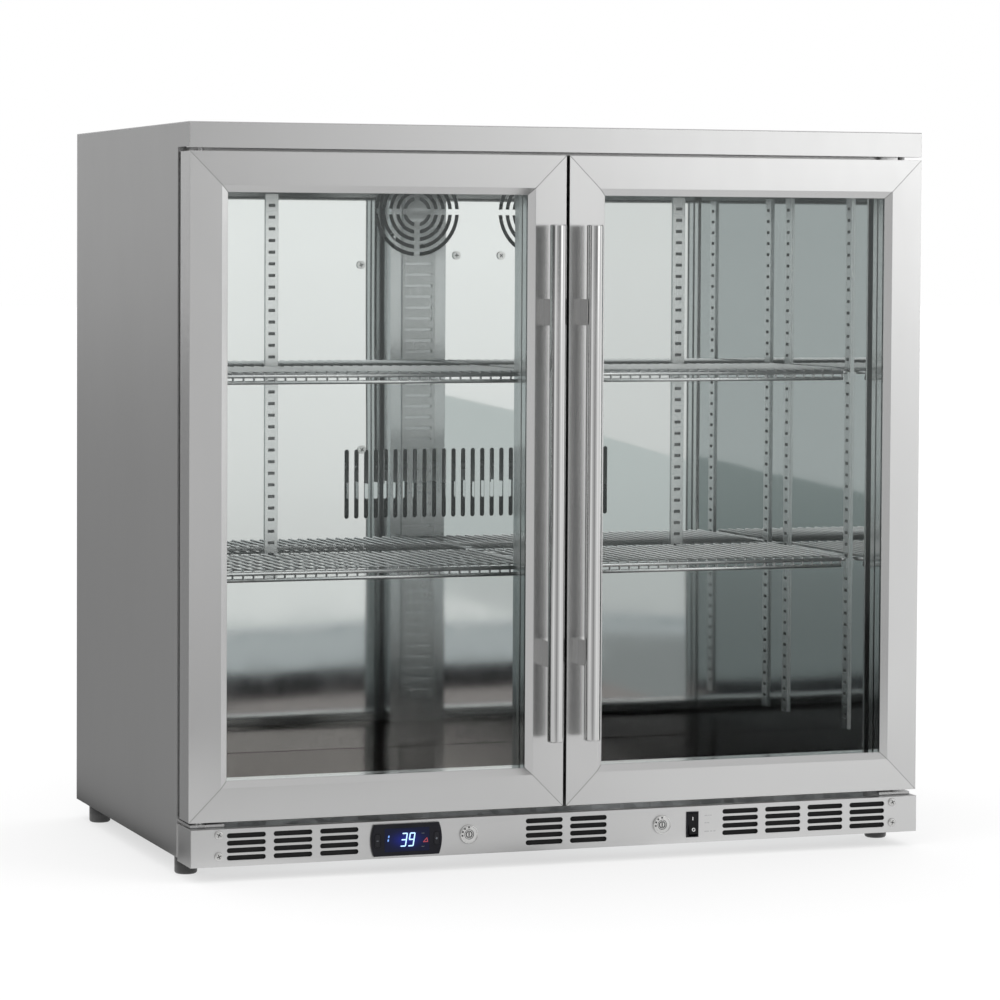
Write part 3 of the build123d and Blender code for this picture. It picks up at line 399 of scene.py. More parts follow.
def enamel(name, colour, rough):
    """Sprayed enamel with orange peel."""
    finish = Finish(name, Metallic=0.0, Coat_Weight=0.5, Coat_Roughness=0.15)
    peel = finish.noise(finish.scaled(420.0, 420.0, 420.0), detail=2.0)
    dust = finish.noise(finish.scaled(24.0, 24.0, 60.0), detail=6.0, rough=0.7)
    dusty = finish.spread(dust, 0.0, 0.7, 0.5, 0.85)
    finish.set(Base_Color=finish.mix(dusty, colour, (0.12, 0.115, 0.105)))
    finish.set(Roughness=finish.spread(dust, rough, rough + 0.3, 0.4, 0.8))
    finish.relief(peel, 6e-5, round_edges=0.001)
    return finish.material


def finned(name, colour, rough, pitch=0.0022):
    """Pressed aluminium fins: fine bright lines, with painted shade as dark lines in the gaps between the
    fins, and dust between them.
    """
    finish = Finish(name, Metallic=1.0)
    x = finish.split()[0]
    wave = finish.math("PINGPONG", x, pitch)
    line = finish.spread(wave, 0.0, 1.0, pitch * 0.2, pitch * 0.9)
    dust = finish.noise(finish.scaled(26.0, 26.0, 26.0), detail=6.0, rough=0.7)
    tint = finish.mix(finish.spread(dust, 0.0, 0.8, 0.4, 0.8), colour, (0.34, 0.33, 0.31))
    # Painted shade: the dark lines in the colour stand where the gaps between the fins lie.
    finish.set(Base_Color=finish.mix(line, times(colour, 0.35), tint))
    finish.set(Roughness=finish.spread(dust, rough, rough + 0.25, 0.35, 0.8))
    finish.relief(line, 1.5e-4)
    return finish.material


def lit(name, colour, strength):
    """A lit display element, slightly uneven."""
    finish = Finish(name, Metallic=0.0, Roughness=0.35, Base_Color=times(colour, 0.12))
    glow = finish.noise(finish.scaled(700.0, 700.0, 700.0), detail=1.0)
    finish.set(Emission_Color=finish.mix(glow, colour, times(colour, 1.1, 0.06)))
    finish.set(Emission_Strength=strength)
    return finish.material


def lens(name, colour):
    """The display's tinted lens, with a faint glow round the middle."""
    finish = Finish(name, Metallic=0.0, Roughness=0.2, Specular_IOR_Level=0.12)
    finish.set(Coat_Weight=0.03, Coat_Roughness=0.05)
    low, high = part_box("controller_display")
    middle, half = (low + high) / 2, (high - low) / 2
    x, _, z = finish.split()
    across = finish.math("DIVIDE", finish.math("SUBTRACT", x, middle.x - half.x * 0.02), half.x)
    up = finish.math("DIVIDE", finish.math("SUBTRACT", z, middle.z), half.z)
    squares = finish.math("ADD", finish.math("POWER", across, 2.0), finish.math("POWER", up, 2.0))
    near = finish.spread(finish.math("SQRT", squares), 1.0, 0.0, 0.05, 1.05)
    grain = finish.noise(finish.scaled(1800.0, 1800.0, 1800.0), detail=1.0)
    glow = finish.mix(finish.math("POWER", near, 2.0), (0.0008, 0.001, 0.005), (0.006, 0.014, 0.24))
    finish.set(Base_Color=finish.mix(grain, times(colour, 0.25), times(colour, 0.4)))
    finish.set(Emission_Color=glow, Emission_Strength=1.0)
    return finish.material


def make_materials():
    """One material for each of the record's slots, and a few for single nodes."""
    own = {m["slot"]: tuple(m["base_color"][:3]) for m in frame["record"]["materials"]}
    body, door, handle = (0.60, 0.60, 0.598), (0.62, 0.62, 0.618), (0.66, 0.66, 0.657)
    liner = own["liner_bright"]
    upright = {"across": (0.6, 0.8, 0.0)}
    polished = {"lift": 0.03, "anisotropy": 0.15, "depth": 3e-8}
    mirror = {"wave": 0.0006, "swirl": 0.006}
    black = {"coat": 0.03, "rub": 0.08}
    made = {
        "stainless_body": steel("stainless_body", body, 0.34, "z", **upright),
        "stainless_door": steel("stainless_door", door, 0.22, "doors"),
        "stainless_handle": steel("stainless_handle", handle, 0.10, "z", **polished),
        "galvanised": zinc("galvanised", own["galvanised"], 0.42),
        "liner_bright": bright_sheet("liner_bright", liner, 0.022, **mirror),
        "cover_bright": bright_sheet("cover_bright", own["cover_bright"], 0.02, **mirror),
        "pilaster_steel": steel("pilaster_steel", own["pilaster_steel"], 0.26, "z"),
        "shelf_wire": chrome("shelf_wire", (0.92, 0.925, 0.93), 0.34),
        "clear_glass": glass("clear_glass", (0.978, 0.986, 0.983)),
        "spacer_metal": bright_sheet("spacer_metal", (0.86, 0.865, 0.865), 0.14),
        "door_trim": bright_sheet("door_trim", (0.84, 0.845, 0.84), 0.2),
        "gasket_rubber": rubber("gasket_rubber", own["gasket_rubber"]),
        "foam": foam_core("foam", own["foam"]),
        "black_plastic": plastic("black_plastic", (0.006, 0.006, 0.009), 0.32, gleam=0.14, **black),
        "display_lens": lens("display_lens", own["display_lens"]),
        "rocker_plastic": plastic("rocker_plastic", (0.005, 0.005, 0.006), 0.3, gleam=0.16, **black),
        "key_rubber": plastic("key_rubber", (0.009, 0.009, 0.012), 0.5, rub=0.1, gleam=0.2),
        "lock_chrome": chrome("lock_chrome", own["lock_chrome"], 0.12),
        "screw_steel": chrome("screw_steel", own["screw_steel"], 0.2),
        "hinge_steel": zinc("hinge_steel", own["hinge_steel"], 0.34),
        "foot_rubber": rubber("foot_rubber", own["foot_rubber"], 0.62),
        "fin_aluminium": finned("fin_aluminium", own["fin_aluminium"], 0.3),
        "fan_plastic": plastic("fan_plastic", (0.15, 0.155, 0.16), 0.46),
        "compressor_paint": enamel("compressor_paint", own["compressor_paint"], 0.3),
    }
    of_node = {
        "kick_panel": steel("stainless_level", body, 0.32, "x", across=(0.0, 0.0, 1.0)),
        "top_panel": steel("stainless_band", body, 0.22, "x", across=(0.0, 0.0, 1.0)),
        "center_mullion": bright_sheet("mullion_bright", (0.80, 0.81, 0.815), 0.16),
        "liner_floor": floor_sheet("liner_floor_sheet", liner, 0.06),
    }
    for name, thing in frame["nodes"].items():
        for entry in thing.material_slots:
            entry.material = of_node.get(name) or made[entry.material.name.split(".")[0]]
    return made


# ---------------------------------------------------------------- mesh pieces
def finish_piece(name, mesh, material, body, smooth=True):
    """Names, links and paints a mesh, and rides it on its body."""
    data = bpy.data.meshes.new(name)
    mesh.to_mesh(data)
    mesh.free()
    data.polygons.foreach_set("use_smooth", [smooth] * len(data.polygons))
    data.materials.append(material)
    piece = bpy.data.objects.new(name, data)
    scene.collection.objects.link(piece)
    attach(piece, body)
    return piece


def tube(mesh, points, radius, sides=8):
    """A round bar through points, closed at both ends."""
    points = [Vector(p) for p in points]
    rings = []
    for index, point in enumerate(points):
        before = points[max(index - 1, 0)]
        after = points[min(index + 1, len(points) - 1)]
        heading = (after - before).normalized()
        side = heading.cross(Vector((0, 0, 1)))
        if side.length < 0.05:
            side = heading.cross(Vector((1, 0, 0)))
        side.normalize()
        up = side.cross(heading)
        reach = radius
        if 0 < index < len(points) - 1:
            bend = (point - before).angle(after - point)
            reach = radius / max(math.cos(bend / 2), 0.6)
        ring = []
        for step in range(sides):
            angle = 2 * math.pi * step / sides
            out = side * math.cos(angle) * radius + up * math.sin(angle) * reach
            ring.append(mesh.verts.new(point + out))
        rings.append(ring)
    for first, second in zip(rings, rings[1:]):
        for step in range(sides):
            follow = (step + 1) % sides
            mesh.faces.new((first[step], first[follow], second[follow], second[step]))
    mesh.faces.new(list(reversed(rings[0])))
    mesh.faces.new(rings[-1])


def arc(centre, start, end, turn_axis, steps):
    """Points on an arc that turns start about centre until it reaches end."""
    centre, start, end = Vector(centre), Vector(start), Vector(end)
    total = (start - centre).angle(end - centre)
    made = []
    for step in range(steps + 1):
        turn = Matrix.Rotation(total * step / steps, 3, Vector(turn_axis))
        made.append(centre + turn @ (start - centre))
    return made


def slab(mesh, outline, y_front, y_back):
    """A flat plate facing the front: outline is (x, z) points, counter-clockwise from the front."""
    front = [mesh.verts.new((x, y_front, z)) for x, z in outline]
    back = [mesh.verts.new((x, y_back, z)) for x, z in outline]
    mesh.faces.new(front)
    mesh.faces.new(list(reversed(back)))
    for index in range(len(outline)):
        follow = (index + 1) % len(outline)
        mesh.faces.new((front[index], back[index], back[follow], front[follow]))


def block(mesh, x0, x1, z0, z1, y_front, y_back):
    """An upright box."""
    slab(mesh, [(x0, z0), (x1, z0), (x1, z1), (x0, z1)], y_front, y_back)


def surface_of(node):
    """A tree of the node's faces, for finding where a mark lands on it."""
    mesh = frame["nodes"][node].data
    points = [v.co.copy() for v in mesh.vertices]
    return BVHTree.FromPolygons(points, [tuple(p.vertices) for p in mesh.polygons])


def front_of(tree, x, z):
    """Where a line from the front at x and z meets the surface."""
    hit = tree.ray_cast(Vector((x, -1.0, z)), Vector((0, 1, 0)))
    return hit[0]


def make_shelves(made):
    """Each shelf as round chromed wires that hook down over the front rail."""
    wire, rail, cross, front_rail = 1.25 * MM, 2.5 * MM, 1.375 * MM, 2.25 * MM
    pitch = 12.5 * MM
    corner, bend = 7 * MM, 3 * MM
    drop = 7.5 * MM
    for node in ("left_upper_shelf", "right_upper_shelf", "left_lower_shelf", "right_lower_shelf"):
        low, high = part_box(node)
        middle = (low + high) / 2
        mesh = bmesh.new()
        x0, x1 = low.x + rail, high.x - rail
        y0, y1 = low.y + rail, high.y - rail
        top = high.z - wire
        lie = top - wire - rail
        loop = []
        for number, (x, y) in enumerate(((x1, y0), (x1, y1), (x0, y1), (x0, y0))):
            inner_x = x - math.copysign(corner, x - middle.x)
            inner_y = y - math.copysign(corner, y - middle.y)
            ends = [(inner_x, y, lie), (x, inner_y, lie)]
            begin, stop = reversed(ends) if number % 2 else ends
            loop += arc((inner_x, inner_y, lie), begin, stop, (0, 0, 1), 5)
        loop.append(loop[0])
        tube(mesh, loop, rail, sides=10)
        lower = lie - drop
        tube(mesh, [(x0 + corner, y0, lower), (x1 - corner, y0, lower)], front_rail, sides=10)
        count = int((x1 - x0 - 2 * rail) // pitch)
        front = y0 - wire * 0.4
        for number in range(count + 1):
            x = middle.x + pitch * (number - count / 2)
            hook = [(x, front, lower), (x, front, top - bend)]
            for step in range(1, 4):
                angle = math.pi / 2 * step / 4
                hook.append((x, front + bend * (1 - math.cos(angle)), top - bend + bend * math.sin(angle)))
            hook += [(x, front + bend, top), (x, y1, top)]
            tube(mesh, hook, wire, sides=8)
        for share in (0.2, 0.4, 0.6, 0.8):
            y = y0 + (y1 - y0) * share
            tube(mesh, [(x0, y, top - 2 * wire), (x1, y, top - 2 * wire)], cross, sides=8)
        piece = finish_piece(node + "_wires", mesh, made["shelf_wire"], "root")
        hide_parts(node)


SEGMENTS = {"3": "abcdg", "9": "abcdfg"}
LEAN = 0.16  # how far the display's figures lean, across per up


def bar(mesh, start, stop, width, base, face):
    """One lit segment with pointed ends, leaned about the height base, on the lens's face."""
    start, stop = Vector(start), Vector(stop)
    way = (stop - start).normalized()
    side = Vector((way.y, -way.x)) * width / 2
    tip = way * width / 2
    outline = [start - tip, start + side, stop + side, stop + tip, stop - side, start - side]
    thick = 0.16 * MM
    slab(mesh, [(p.x + (p.y - base) * LEAN, p.y) for p in outline], face - thick, face + thick / 4)


def make_display():
    """The lit digits and small icons on the controller's lens."""
    low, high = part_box("controller_display")
    face = low.y
    middle = (low + high) / 2

    def show(name, mesh, light, colour, strength):
        finish_piece(name, mesh, lit(light, colour, strength), "root", False)

    wide, tall, gap = 5.6 * MM, 14.4 * MM, 0.3 * MM
    base = middle.z - tall / 2
    half, top = base + tall / 2, base + tall
    digits = bmesh.new()
    for place, digit in enumerate("39"):
        left = middle.x - 7.6 * MM + place * 9.2 * MM
        right = left + wide
        rows = {
            "a": ((left + gap, top), (right - gap, top)),
            "g": ((left + gap, half), (right - gap, half)),
            "d": ((left + gap, base), (right - gap, base)),
            "b": ((right, half + gap), (right, top - gap)),
            "c": ((right, base + gap), (right, half - gap)),
            "f": ((left, half + gap), (left, top - gap)),
        }
        for letter in SEGMENTS[digit]:
            bar(digits, *rows[letter], 1.35 * MM, base, face)
    show("display_digits", digits, "display_white", (0.42, 0.66, 1.0), 1.5)

    cooling = bmesh.new()
    column = middle.x - 22.6 * MM
    for rise in (3.4 * MM, -0.9 * MM):
        foot = middle.z + rise
        bar(cooling, (column, foot), (column, foot + 1.6 * MM), 1.7 * MM, middle.z, face)
    show("display_cooling", cooling, "display_blue", (0.16, 0.36, 0.9), 1.0)

    alarm = bmesh.new()
    x, z = middle.x + 22.6 * MM, middle.z - 1.2 * MM
    peak, foot_half = 2.2 * MM, 2.6 * MM
    corners = [(x - foot_half, z - peak), (x + foot_half, z - peak), (x + foot_half * 0.35, z + peak)]
    for start, stop in zip(corners, corners[1:] + corners[:1]):
        bar(alarm, start, stop, 0.8 * MM, z, face)
    show("display_alarm", alarm, "display_red", (0.42, 0.03, 0.05), 0.9)

    marks = bmesh.new()
    x = middle.x + 17.6 * MM
    for rise in (6.5 * MM, -8.6 * MM):
        z = middle.z + rise
        bar(marks, (x, z), (x + 3.2 * MM, z), 0.6 * MM, z, face)
    show("display_marks", marks, "display_grey", (0.10, 0.12, 0.13), 0.6)


def make_key_marks():
    """A raised minus and plus on the controller's keys."""
    arm, half = 1.5 * MM, 0.25 * MM
    for side, plus in (("left", False), ("right", True)):
        node = side + "_controller_key"
        low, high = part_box(node)
        x, z = (low.x + high.x) / 2, (low.z + high.z) / 2
        depth = (low.y - 0.08 * MM, low.y + 0.1 * MM)
        mesh = bmesh.new()
        block(mesh, x - arm, x + arm, z - half, z + half, *depth)
        if plus:
            block(mesh, x - half, x + half, z + half, z + arm, *depth)
            block(mesh, x - half, x + half, z - arm, z - half, *depth)
        paint = plastic(side + "_key_print", (0.12, 0.13, 0.15), 0.5)
        finish_piece(side + "_key_mark", mesh, paint, side + "_key", False)


def ring_outline(centre, radius, steps):
    angles = [2 * math.pi * step / steps for step in range(steps)]
    return [(centre[0] + radius * math.cos(a), centre[1] + radius * math.sin(a)) for a in angles]


def ring_piece(mesh, centre, outer, inner, y_front, y_back, steps=28):
    """A flat ring facing the front."""
    rings = []
    for radius, y in ((outer, y_front), (inner, y_front), (inner, y_back), (outer, y_back)):
        rings.append([mesh.verts.new((x, y, z)) for x, z in ring_outline(centre, radius, steps)])
    for first, second in zip(rings, rings[1:] + rings[:1]):
        for index in range(steps):
            follow = (index + 1) % steps
            mesh.faces.new((first[index], first[follow], second[follow], second[index]))


def ring_bead(mesh, centre, radius, bead, y, steps=48, sides=10):
    """A half-sunk round bead round a circle that faces the front."""
    rings = []
    for step in range(steps):
        angle = 2 * math.pi * step / steps
        ring = []
        for side in range(sides):
            turn = 2 * math.pi * side / sides
            out = radius + bead * math.cos(turn)
            x, z = centre[0] + out * math.cos(angle), centre[1] + out * math.sin(angle)
            ring.append(mesh.verts.new((x, y + bead * math.sin(turn), z)))
        rings.append(ring)
    for first, second in zip(rings, rings[1:] + rings[:1]):
        for side in range(sides):
            follow = (side + 1) % sides
            mesh.faces.new((first[side], second[side], second[follow], first[follow]))


def lay_on(mesh, tree):
    """Moves each point of a flat mark, whose y is a height above the surface, onto the surface."""
    for vertex in mesh.verts:
        spot = front_of(tree, vertex.co.x, vertex.co.z)
        if spot is not None:
            vertex.co.y += spot.y


def make_switch_marks():
    """A raised line and circle on the rocker, for on and off."""
    tree = surface_of("power_rocker")
    low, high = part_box("power_rocker")
    middle, half = (low + high) / 2, (high - low) / 2
    paint = plastic("switch_print", (0.72, 0.73, 0.74), 0.45)
    depth = (-0.12 * MM, 0.25 * MM)
    x, rise = middle.x, half.z * 0.52
    line = bmesh.new()
    half_wide, half_tall = 0.35 * MM, 2 * MM
    z = middle.z + rise
    block(line, x - half_wide, x + half_wide, z - half_tall, z + half_tall, *depth)
    lay_on(line, tree)
    finish_piece("rocker_on_mark", line, paint, "rocker", False)
    circle = bmesh.new()
    ring_piece(circle, (x, middle.z - rise), 2.0 * MM, 1.4 * MM, *depth)
    lay_on(circle, tree)
    finish_piece("rocker_off_mark", circle, paint, "rocker", False)


def make_labels():
    """Printed ticks beside the rocker, generic: three broken lines."""
    tree = surface_of("kick_panel")
    low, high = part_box("power_rocker")
    middle_z = (low.z + high.z) / 2
    ink = plastic("label_ink", (0.26, 0.26, 0.265), 0.55)
    left = high.x + 9.5 * MM
    half = 0.45 * MM
    mesh = bmesh.new()
    for rise, length in ((9 * MM, 9 * MM), (0.4 * MM, 6 * MM), (-9.6 * MM, 14 * MM)):
        z = middle_z + rise
        for start, stop in ((0, 0.42), (0.5, 0.72), (0.8, 1.0)):
            x0, x1 = left + length * start, left + length * stop
            block(mesh, x0, x1, z - half, z + half, -0.06 * MM, 0.05 * MM)
    lay_on(mesh, tree)
    finish_piece("switch_labels", mesh, ink, "root", False)


def make_lock_details(made):
    """Round each lock a rolled rim; and, as painted shade in flat dark pieces, a groove and index ticks,
    and on its plug a ring and the key's slot.
    """
    low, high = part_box("lock_bodies")
    flange = (high.z - low.z) / 2
    z = (low.z + high.z) / 2
    tree = surface_of("lock_bodies")
    shade_paint = plastic("lock_shadow", (0.02, 0.02, 0.02), 0.5)
    on_body, on_plug = (-0.06 * MM, 0.06 * MM), (-0.05 * MM, 0.05 * MM)
    for side, x in (("left", low.x + flange), ("right", high.x - flange)):
        rim = bmesh.new()
        ring_bead(rim, (x, z), flange - 1.1 * MM, 0.8 * MM, low.y + 0.15 * MM)
        finish_piece(side + "_lock_rim", rim, made["lock_chrome"], "root")
        # Painted shade: the groove and the index ticks are flat dark pieces on the flange.
        marks = bmesh.new()
        ring_piece(marks, (x, z), 5.8 * MM, 5.2 * MM, *on_body)
        for degrees in (92, 128, 158, 188):
            way = Vector((math.cos(math.radians(degrees)), math.sin(math.radians(degrees))))
            across = Vector((-way.y, way.x)) * MM
            inner, outer = Vector((x, z)) + way * 7.2 * MM, Vector((x, z)) + way * 9.2 * MM
            corners = [inner - across, outer - across, outer + across, inner + across]
            slab(marks, [tuple(c) for c in corners], *on_body)
        lay_on(marks, tree)
        finish_piece(side + "_lock_marks", marks, shade_paint, "root", False)
        # Painted shade: the plug's ring and the key's slot are flat dark pieces on the plug.
        keyway = bmesh.new()
        ring_piece(keyway, (x, z), 4.2 * MM, 2.9 * MM, *on_plug)
        half_wide, half_tall = 0.45 * MM, 2.0 * MM
        block(keyway, x - half_wide, x + half_wide, z - half_tall, z + half_tall, *on_plug)
        lay_on(keyway, surface_of(side + "_lock_cam"))
        finish_piece(side + "_lock_keyway", keyway, shade_paint, side + "_lock", False)


def islands(node):
    """The points of each separate solid of a node."""
    work = bmesh.new()
    work.from_mesh(frame["nodes"][node].data)
    bmesh.ops.remove_doubles(work, verts=work.verts, dist=1e-6)
    seen, groups = set(), []
    for vertex in work.verts:
        if vertex in seen:
            continue
        stack, group = [vertex], []
        seen.add(vertex)
        while stack:
            one = stack.pop()
            group.append(one.co.copy())
            for link in one.link_edges:
                other = link.other_vert(one)
                if other not in seen:
                    seen.add(other)
                    stack.append(other)
        groups.append(group)
    work.free()
    return groups


def make_screw_recesses():
    """Painted shade: a flat dark cross on each pan head on the kick panel and the evaporator cover, where
    its cross recess lies.
    """
    heads = []
    for group in islands("panel_screws"):
        xs, zs = [p.x for p in group], [p.z for p in group]
        heads.append(((min(xs) + max(xs)) / 2, min(p.y for p in group), (min(zs) + max(zs)) / 2))
    shade_paint = plastic("screw_recess", (0.03, 0.03, 0.03), 0.6)
    marks = bmesh.new()
    arm, half = 2.8 * MM, 0.5 * MM
    for number, (x, _, z) in enumerate(sorted(heads)):
        turn = 0.4 + 0.7 * number
        for angle in (turn, turn + math.pi / 2):
            way = Vector((math.cos(angle), math.sin(angle)))
            side = Vector((-way.y, way.x)) * half
            corners = [way * -arm - side, way * arm - side, way * arm + side, way * -arm + side]
            slab(marks, [(x + c.x, z + c.y) for c in corners], -0.05 * MM, 0.05 * MM)
    lay_on(marks, surface_of("panel_screws"))
    finish_piece("screw_crosses", marks, shade_paint, "root", False)


SLOT_PITCH = 14 * MM
SLOT_HALF_WIDE, SLOT_HALF_TALL = 4 * MM, 1.75 * MM


def slot_column(mesh, bottom, top, corner):
    """A column of clip slots between two heights; corner(side, z) places one corner of a slot."""
    count = int((top - bottom) / SLOT_PITCH + 0.01) - 1
    for number in range(count):
        z = (bottom + top) / 2 + (number - (count - 1) / 2) * SLOT_PITCH
        around = ((-1, -1), (1, -1), (1, 1), (-1, 1))
        spots = [corner(a * SLOT_HALF_WIDE, z + b * SLOT_HALF_TALL) for a, b in around]
        mesh.faces.new([mesh.verts.new(spot) for spot in spots])


def make_strip_slots():
    """Painted shade: flat dark pieces at the bottoms of the clip slots in the shelf strips."""
    shade_paint = plastic("strip_slot", (0.20, 0.205, 0.205), 0.6)
    low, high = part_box("evaporator_cover")
    strip_low, strip_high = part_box("shelf_pilasters")
    off = 0.1 * MM
    rear_bottom, rear_face = 313 * MM, low.y - off
    mesh = bmesh.new()
    for x in (-265 * MM, 265 * MM):
        slot_column(mesh, rear_bottom, strip_high.z, lambda side, z, x=x: (x + side, rear_face, z))
    for x in (low.x + off, high.x - off):
        for y in (strip_low.y + 21 * MM, strip_low.y + 195 * MM):
            slot_column(mesh, strip_low.z, strip_high.z, lambda side, z, x=x, y=y: (x, y + side, z))
    finish_piece("strip_slots", mesh, shade_paint, "root", False)


def make_filters():
    """Black foam filter pads behind the kick panel's slots."""
    low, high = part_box("kick_panel")
    front = low.y + 2.4 * MM
    pad = plastic("filter_foam", (0.004, 0.004, 0.0042), 0.97, rub=0.0)
    column_pitch, margin, thick = 54.7 * MM, 1.5 * MM, 3 * MM
    mesh = bmesh.new()
    for x, columns in ((-329.5 * MM, 3), (0.5 * MM, 2), (301.5 * MM, 4)):
        half = column_pitch * columns / 2 - margin
        block(mesh, x - half, x + half, low.z + 5 * MM, high.z - 3 * MM, front, front + thick)
    finish_piece("kick_filters", mesh, pad, "root", False)


# ---------------------------------------------------------------- studio
# How bright the studio is that the steel mirrors, by compass bearing in degrees: 0 in front, 90 right.
STUDIO = (
    (-180, 0.64), (-165, 0.74), (-152, 0.64), (-138, 0.16), (-82, 0.07), (-70, 0.40),
    (-55, 1.25), (-40, 0.66), (-20, 0.46), (-4, 0.28), (8, 0.30), (14, 0.44),
    (20, 1.10), (26, 2.15), (32, 2.40), (40, 2.10), (50, 1.10), (64, 0.80),
    (80, 1.55), (95, 1.10), (120, 0.62), (180, 0.64),
)
# The same for the floor, which the lower half of the steel mirrors.
FLOOR = (
    (-180, 0.30), (-150, 0.28), (-138, 0.10), (-82, 0.07), (-70, 0.40), (-55, 1.00),
    (-40, 0.66), (-20, 0.44), (-6, 0.26), (0, 0.50), (6, 0.60), (12, 0.62),
    (20, 0.70), (27, 0.90), (33, 0.96), (45, 0.90), (66, 0.75), (80, 1.25),
    (95, 0.95), (120, 0.55), (180, 0.30),
)
STUDIO_TOP = 2.4  # the highest level in either


def compass(tree, x, y, table):
    """A grey from 0 to 1 for the bearing of x and y, read from a table of levels up to STUDIO_TOP."""
    new, join = tree.nodes.new, tree.links.new
    back = new("ShaderNodeMath")
    back.operation = "MULTIPLY"
    join(y, back.inputs[0])
    back.inputs[1].default_value = -1.0
    bearing = new("ShaderNodeMath")
    bearing.operation = "ARCTAN2"
    join(x, bearing.inputs[0])
    join(back.outputs[0], bearing.inputs[1])
    turn = new("ShaderNodeMath")
    turn.operation = "MULTIPLY_ADD"
    join(bearing.outputs[0], turn.inputs[0])
    turn.inputs[1].default_value = 1 / (2 * math.pi)
    turn.inputs[2].default_value = 0.5
    around = new("ShaderNodeValToRGB")
    around.color_ramp.interpolation = "EASE"
    join(turn.outputs[0], around.inputs[0])
    marks = around.color_ramp.elements
    for degrees, level in table:
        spot = degrees / 360 + 0.5
        mark = marks[0] if degrees == -180 else marks[-1] if degrees == 180 else marks.new(spot)
        mark.position = spot
        mark.color = (level / STUDIO_TOP,) * 3 + (1,)
    return around.outputs[0]


def plain(name, colour, rough, glow=0.0):
    """A studio surface."""
    finish = Finish(name, Metallic=0.0, Roughness=rough, Specular_IOR_Level=0.0)
    soft = finish.noise(finish.scaled(1.3, 1.3, 1.3), detail=2.0)
    finish.set(Base_Color=finish.mix(soft, times(colour, 0.985), colour))
    if glow:
        finish.set(Emission_Color=(1.0, 1.0, 1.0), Emission_Strength=glow)
    return finish.material


def card(name, corners, colour, glow, through=True, fade=None):
    """A flat studio card. Only what is behind the glass mirrors it, or with through False only the
    steel outside. fade (z0, z1, dim) darkens it to dim times its colour at z0."""
    mesh = bpy.data.meshes.new(name)
    mesh.from_pydata([tuple(c) for c in corners], [], [tuple(range(len(corners)))])
    panel = bpy.data.objects.new(name, mesh)
    black = Finish(name, Metallic=0.0, Roughness=1.0, Base_Color=(0.0, 0.0, 0.0), Specular_IOR_Level=0.0)
    if fade:
        rise = black.spread(black.split()[2], 0.0, 1.0, fade[0], fade[1])
        black.set(Emission_Color=black.mix(rise, times(colour, fade[2]), colour))
    else:
        black.set(Emission_Color=colour)
    black.set(Emission_Strength=glow)
    if through:
        path = black.tree.nodes.new("ShaderNodeLightPath")
        mirrored = black.math("GREATER_THAN", path.outputs["Glossy Depth"], 0.5)
        either = black.tree.nodes.new("ShaderNodeMixShader")
        black.join(mirrored, either.inputs[0])
        black.join(black.tree.nodes.new("ShaderNodeBsdfTransparent").outputs[0], either.inputs[1])
        black.join(black.shader.outputs[0], either.inputs[2])
        black.join(either.outputs[0], black.output.inputs["Surface"])
    mesh.materials.append(black.material)
    scene.collection.objects.link(panel)
    panel.visible_camera = False
    panel.visible_diffuse = False
    panel.visible_shadow = False
    panel.visible_glossy = not through
    panel.visible_transmission = through
    return panel


FAR = -3.30  # y of the studio's front wall
NEARER = FAR + 0.02  # y of the cards that lie on it


def wall(name, x0, x1, z0, z1, grey, glow, fade=None):
    return card(name, [(x0, FAR, z0), (x1, FAR, z0), (x1, FAR, z1), (x0, FAR, z1)], grey, glow, fade=fade)


def ground(name, x0, x1, y0, y1, z, grey, through=True):
    return card(name, [(x0, y0, z), (x1, y0, z), (x1, y1, z), (x0, y1, z)], grey, 1.0, through)


